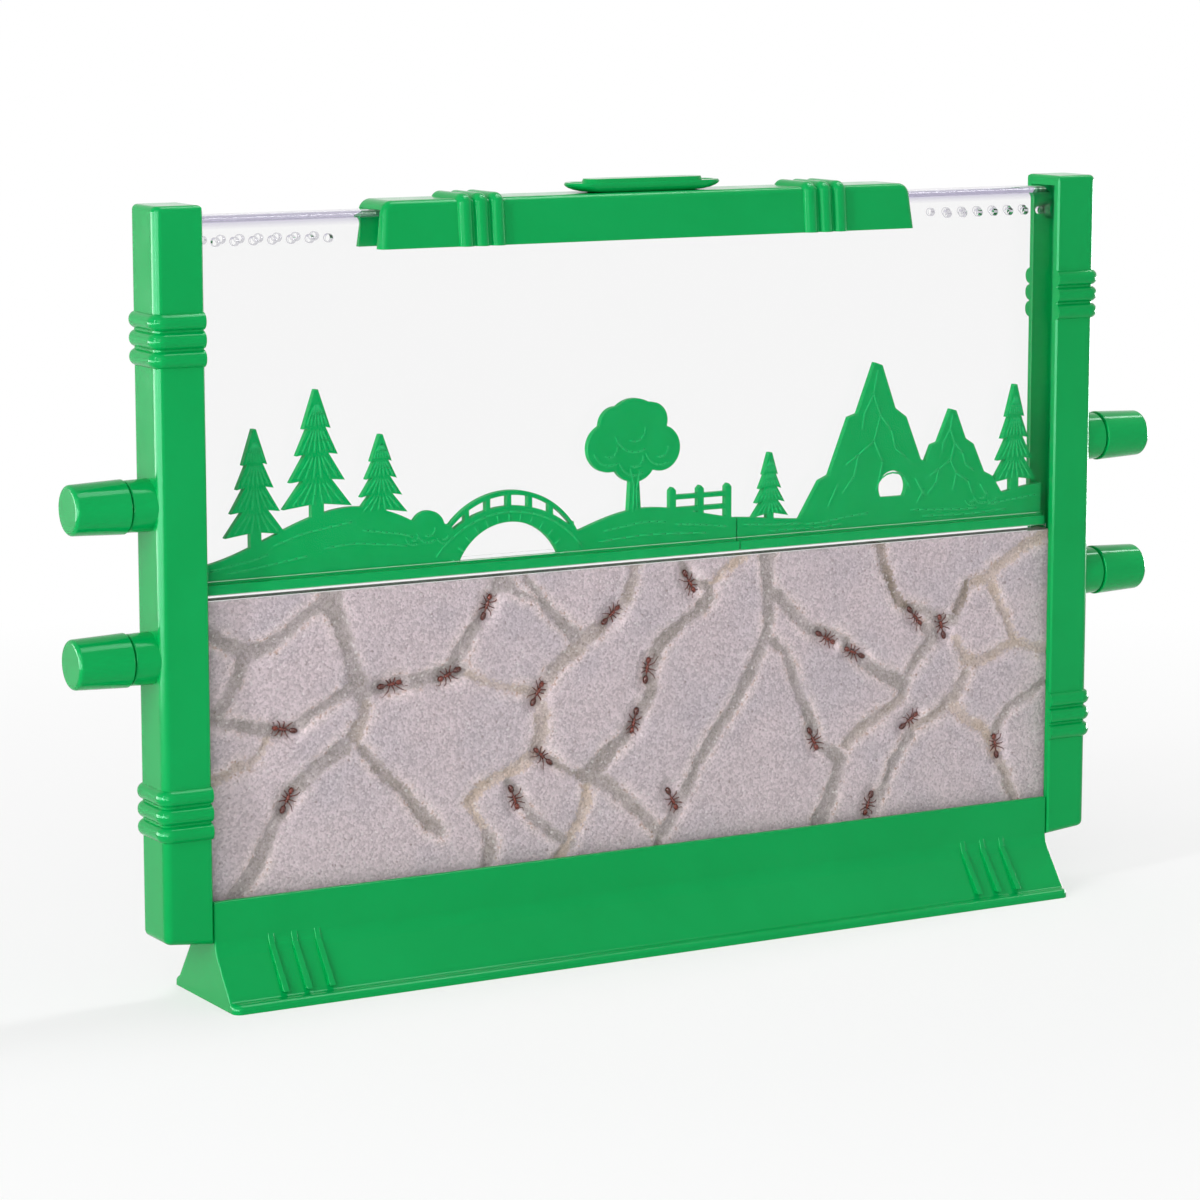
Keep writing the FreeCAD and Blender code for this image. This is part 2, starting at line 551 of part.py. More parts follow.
def lid_body():
    """The lid's outer block, drawn in towards the top on all four sides."""
    high_x, high_y = LID_HALF_LENGTH - LID_DRAFT, LID_HALF_DEPTH - LID_DRAFT
    foot = rectangle(LID_HALF_LENGTH, LID_HALF_DEPTH, LID_BOTTOM)
    crown = rectangle(high_x, high_y, LID_TOP)
    block = Part.makeLoft([foot, crown], True, True)
    end_tops = edges_where(block, lambda p: near(p.z, LID_TOP) and near(abs(p.x), high_x))
    block = block.makeFillet(LID_END_EDGE, end_tops)
    outlines = edges_where(block, lambda p: abs(p.y) > high_y - 1e-3)
    outlines = [edge for edge in outlines if edge.BoundBox.ZMax > LID_BOTTOM + 0.1]
    return block.makeFillet(LID_EDGE, outlines)


def stadium(half_length, half_depth, z):
    """A flat wire with round ends, centred on the lid."""
    straight = half_length - half_depth
    front_left, front_right = Vector(-straight, -half_depth, z), Vector(straight, -half_depth, z)
    back_left, back_right = Vector(-straight, half_depth, z), Vector(straight, half_depth, z)
    return Part.Wire([
        Part.makeLine(front_left, front_right),
        Part.Arc(front_right, Vector(half_length, 0, z), back_right).toShape(),
        Part.makeLine(back_right, back_left),
        Part.Arc(back_left, Vector(-half_length, 0, z), front_left).toShape(),
    ])


def finger_pull():
    """The boat-shaped pull on the lid: curved under all round, scooped at its ends, a raised bar between."""
    half, deep = PULL_LENGTH / 2, PULL_DEPTH / 2
    rim_z = LID_TOP + PULL_HEIGHT
    rings = [stadium(half - PULL_UNDERCUT, deep - PULL_SIDE_UNDERCUT, LID_TOP - MERGE)]
    for height, undercut in PULL_CURVE:
        rings.append(stadium(half - undercut * PULL_UNDERCUT, deep - undercut * PULL_SIDE_UNDERCUT,
                             LID_TOP + height * PULL_HEIGHT))
    hull = Part.makeLoft(rings, True, True)
    for side in (-1, 1):
        middle = Vector(side * (half - PULL_DENT_INSET), 0, rim_z + PULL_DENT_RADIUS - PULL_DENT_DEPTH)
        hull = hull.cut(Part.makeSphere(PULL_DENT_RADIUS, middle))
    bar_half, bar_deep = half - PULL_BAR_INSET, deep - PULL_SIDE_UNDERCUT
    bar_foot = stadium(bar_half, bar_deep, rim_z - MERGE)
    bar_top = stadium(bar_half - PULL_BAR_SLOPE, bar_deep - PULL_BAR_SLOPE, rim_z + PULL_BAR_RISE)
    bar = Part.makeLoft([bar_foot, bar_top], True, True)
    return join([hull, bar])


def top_lid():
    """The saddle lid over the filling mouth, with rib bands, a finger pull and locating tabs."""
    pieces = [lid_body(), finger_pull()]
    for side in (-1, 1):
        for number in range(RIB_COUNT):
            x = side * LID_RIB_CENTRE + (number - (RIB_COUNT - 1) / 2) * RIB_PITCH
            low, high = x - RIB_WIDTH / 2, x + RIB_WIDTH / 2
            rib = lid_block(RIB_PROUD, low, high, LID_EDGE + RIB_PROUD)
            crest = edges_where(rib, lambda p: near(p.x, low) or near(p.x, high))
            crest = [edge for edge in crest if edge.BoundBox.ZMax > LID_BOTTOM + 0.1]
            pieces.append(rib.makeFillet(RIB_ROUND, crest))
    lid = join(pieces)
    slot = box(-VIEW_HALF, VIEW_HALF, -GROOVE_HALF_DEPTH, GROOVE_HALF_DEPTH, LID_BOTTOM - 1, TANK_TOP)
    recess_z = TANK_TOP + MOUTH_RECESS
    recess = box(-MOUTH_HALF, MOUTH_HALF, -BED_HALF_DEPTH, BED_HALF_DEPTH, TANK_TOP - 1, recess_z)
    lid = lid.cut(slot).cut(recess)
    tab_half = BED_HALF_DEPTH - SLIDE_GAP
    tab_end = MOUTH_HALF - SLIDE_GAP
    tab = box(tab_end - TAB_LENGTH, tab_end, -tab_half, tab_half, TANK_TOP - TAB_DROP, recess_z + MERGE)
    return join([lid, tab, mirror_x(tab)])


def sand_point(x_share, z_share):
    """A point of the sand's face from thousandths of the view's width and of the sand's depth."""
    return (VIEW_WIDTH * x_share / 1000 - VIEW_HALF, STAND_HEIGHT + SAND_RISE * z_share / 1000)


def stadium_between(start, end, radius, y):
    """A flat face with round ends round two points of the sand's face."""
    along = Vector(end[0] - start[0], 0, end[1] - start[1])
    along.normalize()
    side = Vector(-along.z, 0, along.x) * radius
    a, b = Vector(start[0], y, start[1]), Vector(end[0], y, end[1])
    lines = [
        Part.makeLine(a + side, b + side),
        Part.Arc(b + side, b + along * radius, b - side).toShape(),
        Part.makeLine(b - side, a - side),
        Part.Arc(a - side, a - along * radius, a + side).toShape(),
    ]
    return Part.Face(Part.Wire(lines))


def tunnel_network(y):
    """All tunnels and ant pockets as one flat shape on the sand's front face."""
    faces = []
    for radius, chain in TUNNELS:
        places = [sand_point(*point) for point in chain]
        faces += [stadium_between(a, b, radius, y) for a, b in zip(places, places[1:])]
    for x_share, z_share, turn in ANTS:
        x, z = sand_point(x_share, z_share)
        reach_x = ANT_POCKET_REACH * math.cos(math.radians(turn))
        reach_z = ANT_POCKET_REACH * math.sin(math.radians(turn))
        tail, head = (x - reach_x, z - reach_z), (x + reach_x, z + reach_z)
        faces.append(stadium_between(tail, head, ANT_POCKET_RADIUS, y))
    return faces[0].multiFuse(faces[1:]).removeSplitter()


def sand_fill():
    """The bed of sand, dug out along its front face by the ants."""
    half_depth = BED_HALF_DEPTH - SEAT_GAP
    bottom = TANK_BOTTOM + RIM_HEIGHT + SEAT_GAP
    half_length = VIEW_HALF + SAND_END
    sand = box(-half_length, half_length, -half_depth, half_depth, bottom, SAND_TOP - SEAT_GAP)
    keep = box(-half_length, half_length, -half_depth - 1, half_depth, bottom + SAND_FLOOR, SAND_TOP + 1)
    tunnels = tunnel_network(-half_depth - 1).extrude(Vector(0, TUNNEL_DEPTH + 1, 0))
    stud_room = rod_y(STUD_X, -half_depth - 1, half_depth + 1, STUD_HEIGHTS[0], STUD_RADIUS + SEAT_GAP)
    return sand.cut(tunnels.common(keep)).cut(stud_room).cut(mirror_x(stud_room))


def ant(x, z, turn):
    """One worker ant in outline, lying in a tunnel with its head turned from +X."""
    points = [Vector(along, radius, 0) for along, radius in ANT_OUTLINE]
    back = Part.BSplineCurve()
    back.interpolate(points)
    half = Part.Face(Part.Wire([back.toShape(), Part.makeLine(points[-1], points[0])]))
    body = half.revolve(Vector(0, 0, 0), Vector(1, 0, 0), 360)
    body.rotate(Vector(0, 0, 0), Vector(0, -1, 0), turn)
    body.translate(Vector(x, -BED_HALF_DEPTH + SEAT_GAP + TUNNEL_DEPTH / 2, z))
    return body


def ants():
    """The colony, one solid for each ant."""
    return Part.makeCompound([ant(*sand_point(x_share, z_share), turn) for x_share, z_share, turn in ANTS])


def plate(outline):
    """A flat scenery shape from (x, z) points, as thick as the inserts."""
    return prism_y(outline, -PLATE_THICKNESS / 2, PLATE_THICKNESS / 2)


def disc(x, z, radius):
    """A round scenery shape."""
    return rod_y(x, -PLATE_THICKNESS / 2, PLATE_THICKNESS / 2, z, radius)


def ground(left, right, heights):
    """A smooth line of hills between two ends, from evenly spread heights above the foot."""
    count = len(heights) - 1
    y = -PLATE_THICKNESS / 2
    points = [Vector(left + (right - left) * i / count, y, FOOT_TOP + h) for i, h in enumerate(heights)]
    crest = Part.BSplineCurve()
    crest.interpolate(points)
    base_z = FOOT_TOP - FOOT_HEIGHT / 2
    wire = Part.Wire([
        crest.toShape(),
        Part.makeLine(points[-1], Vector(right, y, base_z)),
        Part.makeLine(Vector(right, y, base_z), Vector(left, y, base_z)),
        Part.makeLine(Vector(left, y, base_z), points[0]),
    ])
    return Part.Face(wire).extrude(Vector(0, PLATE_THICKNESS, 0))


def fir(x, root_z, height, spread):
    """A fir tree of four drooping tiers."""
    tiers = 4
    trunk = height * 0.14
    right = [(spread * 0.09, root_z - ROOT), (spread * 0.09, root_z + trunk)]
    for tier in range(tiers):
        reach = spread / 2 * (1 - 0.8 * tier / tiers)
        low = root_z + trunk + (height - trunk) * tier / (tiers + 0.35)
        right.append((reach, low - 0.8))
        right.append((reach * 0.42, low + (height - trunk) / (tiers + 0.35) * 0.92))
    right[-1] = (0.35, root_z + height)
    left = [(-dx, z) for dx, z in reversed(right)]
    return plate([(x + dx, z) for dx, z in right + left])


def broadleaf(x, root_z, height):
    """A round-topped tree with a forked trunk."""
    crown = height * 0.27
    top = root_z + height
    trunk = plate([
        (x - 1.9, root_z - ROOT), (x + 1.9, root_z - ROOT), (x + 1.1, root_z + height * 0.35),
        (x + 3.6, root_z + height * 0.6), (x - 3.8, root_z + height * 0.6), (x - 1.1, root_z + height * 0.35),
    ])
    # each lobe of leaves: across, down from the top, and its radius, in crown radii
    lobes = [
        (0, 1, 1), (-0.95, 1.55, 0.78), (0.95, 1.65, 0.74),
        (0, 1.9, 0.8), (0.62, 0.75, 0.6), (-0.66, 0.85, 0.62),
    ]
    leaves = [disc(x + across * crown, top - down * crown, size * crown) for across, down, size in lobes]
    return [trunk] + leaves


def bush(x, root_z, radius):
    """A low bush of three lobes."""
    lobes = [(0, 0.5, 1), (-0.9, 0.2, 0.7), (0.95, 0.1, 0.62)]
    return [disc(x + across * radius, root_z + up * radius, size * radius) for across, up, size in lobes]


def fence(x0, x1, root_z, posts):
    """A two-rail fence between two places."""
    pieces = [plate([(x0, root_z + z), (x1, root_z + z), (x1, root_z + z + 1.1), (x0, root_z + z + 1.1)])
              for z in (2.4, 5.4)]
    for number in range(posts):
        x = x0 + (x1 - x0) * number / (posts - 1)
        pieces.append(plate([(x - 0.8, root_z - ROOT), (x + 0.8, root_z - ROOT), (x + 0.8, root_z + 7.6),
                             (x, root_z + 8.4), (x - 0.8, root_z + 7.6)]))
    return pieces


def arch_block(x, root_z, half_width, rise):
    """A filled arch between two feet, as thick as the inserts."""
    y = -PLATE_THICKNESS / 2
    left, right = Vector(x - half_width, y, root_z), Vector(x + half_width, y, root_z)
    crown = Part.Arc(left, Vector(x, y, root_z + rise), right).toShape()
    return Part.Face(Part.Wire([crown, Part.makeLine(right, left)])).extrude(Vector(0, PLATE_THICKNESS, 0))


def footbridge(x):
    """An arched bridge with a handrail on posts; the way under it is cut afterwards."""
    half, rise, post_count = 22.0, 12.5, 7
    rail = arch_block(x, FOOT_TOP + 3.6, half - 3.0, rise)
    rail = rail.cut(arch_block(x, FOOT_TOP + 2.5, half - 3.0, rise))
    pieces = [arch_block(x, FOOT_TOP, half, rise), rail]
    for number in range(post_count):
        share = 2 * number / (post_count - 1) - 1
        post_x = x + share * (half - 5.5)
        deck_z = FOOT_TOP + rise * (1 - 0.62 * share * share) - 2.0
        pieces.append(plate([(post_x - 0.55, deck_z - 1.0), (post_x + 0.55, deck_z - 1.0),
                             (post_x + 0.55, deck_z + 5.0), (post_x - 0.55, deck_z + 5.0)]))
    return pieces


def mountain(x, root_z, half_width, height):
    """A craggy peak with shoulders."""
    shape = [
        (-1.0, 0.0), (-0.72, 0.27), (-0.6, 0.3), (-0.36, 0.66), (-0.25, 0.68), (-0.04, 1.0),
        (0.05, 0.98), (0.22, 0.7), (0.36, 0.64), (0.55, 0.36), (0.7, 0.31), (1.0, 0.0),
    ]
    base = [(x + half_width, root_z - ROOT), (x - half_width, root_z - ROOT)]
    return plate([(x + dx * half_width, root_z + dz * height) for dx, dz in shape] + base)


def insert_foot(left, right):
    """The strip that an insert stands on, between the windows' ledges and keepers."""
    return box(left, right, -FOOT_HALF_DEPTH, FOOT_HALF_DEPTH, FOOT_BOTTOM, FOOT_TOP)


def insert(left, right, hills, firs, bush_place, others):
    """One flat insert: its foot, a line of hills, firs, a bush and the motifs that are its own."""
    pieces = [insert_foot(left, right), ground(left, right, hills)]
    for share, root, height, spread in firs:
        pieces.append(fir(left + (right - left) * share, FOOT_TOP + root, height, spread))
    share, root, radius = bush_place
    pieces += bush(left + (right - left) * share, FOOT_TOP + root, radius)
    return join(pieces + others)


def scenery_left():
    """The longer insert: firs on a hill, an arched footbridge, a broad tree and a fence."""
    left = -VIEW_HALF + SEAT_GAP
    right = -VIEW_HALF + VIEW_WIDTH * SPLIT_SHARE - SPLIT_GAP / 2
    span = right - left
    tree_share, tree_root, tree_height = BROADLEAF
    tree = broadleaf(left + span * tree_share, FOOT_TOP + tree_root, tree_height)
    fence_x0, fence_x1 = [left + span * share for share in FENCE_ENDS]
    rails = fence(fence_x0, fence_x1, FOOT_TOP + FENCE_ROOT, 3)
    bridge_x = left + span * BRIDGE_SHARE
    shape = insert(left, right, LEFT_HILLS, LEFT_FIRS, LEFT_BUSH, tree + rails + footbridge(bridge_x))
    springing, half_width, rise = BRIDGE_ARCH
    return shape.cut(arch_block(bridge_x, FOOT_TOP + springing, half_width, rise))


def scenery_right():
    """The shorter insert: two peaks with a cave, firs and a bush."""
    left = -VIEW_HALF + VIEW_WIDTH * SPLIT_SHARE + SPLIT_GAP / 2
    right = VIEW_HALF - SEAT_GAP
    span = right - left
    peaks = [mountain(left + span * share, FOOT_TOP + root, half_width, height)
             for share, root, half_width, height in PEAKS]
    shape = insert(left, right, RIGHT_HILLS, RIGHT_FIRS, RIGHT_BUSH, peaks)
    share, root, half_width, rise = CAVE
    return shape.cut(arch_block(left + span * share, FOOT_TOP + root, half_width, rise))


def export(name, shape):
    """Checks one node and writes its STEP file."""
    if not shape.isValid():
        raise ValueError(name + " is not a valid solid")
    shape.exportStep("parts/" + name + ".step")
    size = shape.BoundBox
    print(f"{name}: {len(shape.Solids)} solid(s)")
    print(f"    {size.XLength:.1f} x {size.YLength:.1f} x {size.ZLength:.1f}")


def main():
    os.makedirs("parts", exist_ok=True)
    post = right_post()
    export("base_stand", base_stand())
    export("front_window", front_window())
    export("back_window", back_window())
    export("right_post", post)
    export("left_post", mirror_x(post))
    export("sand_fill", sand_fill())
    export("ants", ants())
    export("scenery_left", scenery_left())
    export("scenery_right", scenery_right())
    export("top_lid", top_lid())
    for level, rise in PORT_RISES.items():
        cap = port_cap(STAND_HEIGHT + rise)
        export("port_cap_right_" + level, cap)
        export("port_cap_left_" + level, mirror_x(cap))


main()
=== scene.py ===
"""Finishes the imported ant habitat: green and clear plastic, sand, ants, scenery relief and a studio."""
import math
import random

import bmesh
import bpy
import numpy as np
from bpy.props import FloatProperty, FloatVectorProperty, PointerProperty
from mathutils import Matrix, Vector, noise


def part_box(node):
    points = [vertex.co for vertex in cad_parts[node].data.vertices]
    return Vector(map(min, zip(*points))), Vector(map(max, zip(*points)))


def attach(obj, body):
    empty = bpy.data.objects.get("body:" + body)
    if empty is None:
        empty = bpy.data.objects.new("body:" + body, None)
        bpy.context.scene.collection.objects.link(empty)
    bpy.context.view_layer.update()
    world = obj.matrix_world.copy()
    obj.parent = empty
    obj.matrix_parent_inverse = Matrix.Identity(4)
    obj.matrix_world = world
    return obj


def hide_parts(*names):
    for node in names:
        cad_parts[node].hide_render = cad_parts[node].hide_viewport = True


bl_info = {
    "name": "Ant Habitat",
    "version": (1, 0, 0),
    "blender": (4, 5, 0),
    "location": "3D View > Sidebar > Habitat",
    "description": "Finishes an ant habitat round its packed frame",
    "category": "Object",
}

MM = 0.001

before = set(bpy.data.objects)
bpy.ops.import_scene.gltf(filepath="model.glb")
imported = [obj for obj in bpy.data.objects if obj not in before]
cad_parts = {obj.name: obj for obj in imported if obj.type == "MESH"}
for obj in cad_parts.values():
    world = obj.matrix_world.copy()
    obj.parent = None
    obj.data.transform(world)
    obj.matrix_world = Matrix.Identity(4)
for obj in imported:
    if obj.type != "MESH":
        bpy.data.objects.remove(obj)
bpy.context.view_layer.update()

# the face of the sand between the posts
VIEW_WIDTH = 228.6 * MM
SAND_FOOT = 23.6 * MM
SAND_DEPTH = 67.4 * MM

# the row of vents at each end, the foot of the windows' thick top rim, and the studs in their corners
FIRST_VENT = 83.0 * MM
VENT_PITCH = 4.55 * MM
VENT_HEIGHT = 170.2 * MM
VENT_RADIUS = 0.9 * MM
RIM_FOOT = 172.7 * MM
STUD_X = 116.3 * MM
STUD_RADIUS = 2.5 * MM

# the inserts' front face, the top of their feet, and each one's left end and length
RELIEF_Y = -0.8
RELIEF_FOOT = 94.35
LEFT_INSERT = (-114.2, 139.37)
RIGHT_INSERT = (25.57, 88.63)

# each tunnel's tone (0 grey, 1 tan, -1 dark) and its course: thousandths of the view's width and of the sand's
# depth, and half its width there in tenths of a millimetre
TUNNELS = [
    (0, [(-15, 925, 12), (5, 900, 13), (22, 859, 15), (44, 816, 20), (66, 828, 14), (84, 859, 12), (102, 908, 12),
         (120, 946, 13), (137, 970, 24)]),
    (0, [(42, 791, 16), (35, 735, 16), (26, 674, 16), (16, 630, 15), (-10, 606, 15)]),
    (0, [(5, 612, 14), (22, 587, 12), (44, 569, 15), (62, 556, 14), (78, 538, 14), (95, 550, 12), (113, 581, 12),
         (131, 618, 11), (148, 649, 13), (166, 674, 22)]),
    (0.6, [(66, 520, 9), (58, 470, 11), (47, 445, 11), (35, 439, 12), (22, 414, 11), (5, 389, 9), (-15, 380, 9)]),
    (0, [(137, 1015, 25), (140, 946, 26), (148, 884, 19), (155, 810, 15), (160, 748, 18), (166, 686, 24),
         (171, 649, 26)]),
    (0, [(182, 655, 15), (199, 655, 15), (219, 667, 18), (237, 674, 19), (255, 680, 17), (286, 686, 16)]),
    (0.6, [(286, 686, 13), (301, 649, 10), (317, 630, 9), (334, 614, 9), (352, 600, 9), (370, 575, 16)]),
    (0, [(275, 723, 17), (283, 766, 18), (292, 810, 17), (301, 834, 12), (310, 896, 10), (319, 946, 11),
         (328, 989, 17), (330, 1015, 20)]),
    (0.3, [(175, 610, 14), (170, 550, 14), (162, 501, 20)]),
    (0, [(149, 464, 19), (131, 426, 16), (113, 389, 17), (97, 340, 17), (82, 278, 16), (71, 216, 16),
         (64, 167, 19), (55, 105, 19), (42, 49, 16), (27, -6, 16), (20, -40, 16)]),
    (-0.3, [(171, 451, 10), (186, 389, 12), (204, 328, 12), (219, 278, 12), (233, 216, 14), (248, 161, 19),
            (257, 136, 14)]),
    (0.9, [(370, 377, 16), (356, 352, 15), (343, 321, 15), (321, 303, 13), (303, 272, 15), (290, 229, 13),
           (297, 179, 10), (308, 130, 10)]),
    (0.1, [(308, 130, 10), (315, 68, 17), (310, 0, 17), (308, -40, 17)]),
    (0.5, [(370, 565, 17), (374, 501, 20), (374, 451, 19), (370, 402, 17), (367, 371, 14)]),
    (0.3, [(378, 590, 13), (388, 661, 16), (403, 698, 17), (418, 735, 20), (430, 766, 18), (443, 785, 13),
           (458, 822, 11), (470, 859, 12), (478, 908, 13), (483, 970, 14), (485, 1015, 18)]),
    (0, [(357, 983, 7), (368, 939, 8), (376, 896, 12), (388, 853, 13), (403, 803, 15), (414, 766, 20)]),
    (0, [(334, 976, 18), (348, 939, 8), (367, 908, 6)]),
    (-0.2, [(536, 1010, 8), (543, 970, 10), (553, 921, 12), (571, 900, 13), (574, 890, 16), (571, 859, 17),
            (560, 816, 14), (543, 785, 13), (527, 748, 19), (514, 717, 16), (509, 674, 15), (503, 612, 14),
            (505, 556, 13), (498, 513, 14), (487, 451, 18), (474, 402, 14), (454, 346, 20), (440, 303, 22),
            (430, 278, 22)]),
    (1, [(574, 900, 10), (590, 950, 11), (611, 985, 12), (620, 1015, 12)]),
    (-0.3, [(361, 383, 6), (378, 352, 10), (396, 315, 8), (410, 290, 8), (421, 272, 13)]),
    (0.1, [(421, 272, 13), (440, 253, 22), (458, 216, 14), (474, 167, 13), (491, 118, 13), (505, 68, 15),
           (514, 31, 14), (512, -40, 13)]),
    (0.9, [(427, 229, 13), (425, 167, 17), (419, 130, 15), (412, 87, 14), (403, 31, 13), (394, -6, 16),
           (392, -40, 16)]),
    (0, [(334, 284, 10), (345, 241, 12), (356, 179, 12), (370, 130, 13), (385, 86, 12), (399, 56, 13),
         (409, 37, 10)]),
    (0, [(644, 1015, 22), (644, 933, 15), (646, 859, 14), (647, 797, 16), (646, 735, 14), (640, 674, 16),
         (629, 612, 15), (618, 538, 16), (604, 464, 14), (589, 402, 13), (574, 340, 16), (560, 272, 14),
         (549, 192, 16), (538, 130, 16), (527, 80, 13), (518, 37, 16)]),
    (0, [(653, 859, 14), (666, 816, 17), (677, 773, 14), (692, 729, 14), (706, 705, 13), (725, 686, 10),
         (739, 661, 11), (754, 612, 12), (768, 569, 14), (786, 525, 15), (803, 501, 18), (816, 482, 20),
         (816, 439, 13)]),
    (0, [(647, 680, 12), (655, 674, 13), (668, 637, 10), (675, 575, 13), (683, 501, 12), (692, 426, 12),
         (701, 365, 12), (710, 290, 14), (725, 253, 16), (736, 222, 19), (734, 167, 18), (726, 105, 20),
         (717, 43, 20), (710, -6, 22), (708, -40, 22)]),
    (0.3, [(746, 278, 14), (761, 327, 14), (779, 358, 13), (794, 383, 12), (807, 408, 13), (816, 439, 13)]),
    (-1, [(783, 1010, 13), (785, 983, 13), (788, 939, 12), (796, 871, 12), (803, 810, 12), (812, 773, 10),
          (825, 754, 11)]),
    (0.1, [(825, 754, 12), (841, 742, 13), (852, 717, 14), (867, 692, 18), (881, 692, 14)]),
    (0.1, [(845, 674, 15), (856, 649, 15), (848, 612, 15), (834, 562, 14), (823, 513, 14)]),
    (-1, [(885, 723, 13), (892, 773, 12), (899, 822, 14)]),
    (0.8, [(899, 822, 13), (910, 822, 12), (925, 841, 16), (940, 884, 14), (958, 915, 13), (976, 946, 14),
           (994, 970, 13), (1015, 990, 13)]),
    (0.8, [(930, 810, 12), (940, 748, 11), (951, 686, 11), (958, 624, 10), (965, 587, 12)]),
    (0.7, [(885, 618, 12), (892, 575, 13), (899, 538, 15), (914, 532, 13), (932, 550, 10), (951, 575, 9),
           (969, 587, 11), (987, 562, 12), (1015, 530, 11)]),
    (0.3, [(898, 488, 14), (889, 426, 14), (874, 389, 18), (859, 352, 13), (847, 334, 10), (830, 315, 10)]),
    (0, [(827, 290, 11), (816, 241, 12), (803, 179, 13), (797, 118, 11), (785, 55, 12), (776, -6, 16),
         (772, -40, 16)]),
    (0.9, [(880, 380, 15), (889, 352, 15), (903, 315, 14), (921, 278, 16), (934, 229, 16), (943, 167, 14)]),
    (0.3, [(943, 167, 14), (951, 105, 13), (958, 43, 11), (965, -18, 11), (967, -40, 11)]),
    (0.1, [(1015, 420, 10), (1000, 426, 10), (983, 389, 12), (969, 365, 10), (954, 340, 9), (943, 290, 10),
           (936, 254, 12)]),
]

# the ragged edge of a tunnel, as waves of three sizes: strength, width and seed
RAGGED = ((0.30, 8 * MM, 1), (0.55, 2.4 * MM, 2), (0.55, 1.0 * MM, 3))
LIP_MIDDLE = 0.5 * MM
LIP_REACH = 2.2 * MM
LUMP_HEIGHT = 0.15 * MM

RUST_GRAIN = (0.42, 0.24, 0.16)
PALE_GRAIN = (0.84, 0.80, 0.80)
DARK_GRAIN = (0.18, 0.12, 0.10)

# the ants: half a body's length in millimetres, the steepest roll in degrees and the seed of their legs
ANT_HALF_LENGTH = 1.9
ANT_ROLL = 22
ANT_SEED = 11

MERGE_DISTANCE = 1e-6
ROD_SIDES = 6
BALL_SIDES, BALL_RINGS = 14, 9
HABITAT_MIDDLE = (0, 0, 0.08)

GREEN_NODES = [
    "base_stand", "left_post", "right_post", "top_lid", "port_cap_left_upper",
    "port_cap_left_lower", "port_cap_right_upper", "port_cap_right_lower",
]
SCENERY_NODES = ["scenery_left", "scenery_right"]
WINDOW_NODES = ["front_window", "back_window"]


# ---- settings


def colour_property(name, description, default):
    return FloatVectorProperty(name=name, description=description, default=default, size=3, subtype="COLOR",
                               min=0.0, max=1.0)


def length_property(name, description, default, least):
    return FloatProperty(name=name, description=description, default=default, unit="LENGTH", min=least)


def power_property(name, description, default):
    return FloatProperty(name=name, description=description, default=default, unit="POWER", min=0.0)


class PlasticSettings(bpy.types.PropertyGroup):
    """The green moulded plastic."""

    colour: colour_property("Colour", "Moulded green of the stand, posts, lid and caps", (0.0, 0.35, 0.074))
    light_colour: colour_property(
        "Flow colour", "Slightly paler green where the plastic flowed in the mould", (0.001, 0.37, 0.082))
    flow_size: length_property("Flow size", "Width of one cloud of paler green", 0.03, 0.001)
    skin_size: length_property("Skin size", "Width of one ripple of the moulded skin", 0.0012, 0.0001)
    roughness: FloatProperty(
        name="Roughness", description="How soft the gloss is", default=0.14, min=0.0, max=1.0,
    )
    gloss: FloatProperty(
        name="Gloss", description="How strongly the plastic shines", default=0.22, min=0.0, max=1.0,
    )
    gloss_tint: colour_property("Gloss tint", "Colour of the gloss seen head on", (0.5, 0.8, 0.75))


class SceneryPlasticSettings(bpy.types.PropertyGroup):
    """The flat inserts behind the window."""

    colour: colour_property("Colour", "Green of the scenery inserts", (0.0, 0.38, 0.09))
    # the speck colour also covers the raised lines all over, as a painted highlight where their ridges catch the
    # light
    speck_and_relief_highlight_colour: colour_property("Speck colour", "Pale specks and raised lines on the inserts", (0.015, 0.50, 0.15))
    line_width: length_property(
        "Relief width", "Width of a raised line on the inserts, half of it proud", 0.00042, 0.0001)


class ClearSettings(bpy.types.PropertyGroup):
    """The clear window halves."""

    tint: colour_property("Tint", "Colour of light that has passed through one sheet", (0.957, 0.957, 0.957))
    # painted shade in streaks on the thick rim, standing in for what the rim refracts
    rim_shade_tint: colour_property("Rim tint", "Colour of light that has passed through the thick rim", (0.58, 0.55, 0.68))
    # painted shade on the vents' walls and close round them
    vent_shade_tint: colour_property(
        "Vent tint", "Colour of light that has passed through a vent's wall", (0.42, 0.41, 0.46))
    gloss: FloatProperty(
        name="Gloss", description="Share of the light thrown back head on", default=0.08, min=0.0, max=1.0,
    )
    index: FloatProperty(
        name="Refraction", description="Index of refraction of clear polystyrene",
        default=1.5, min=1.0, max=2.5,
    )


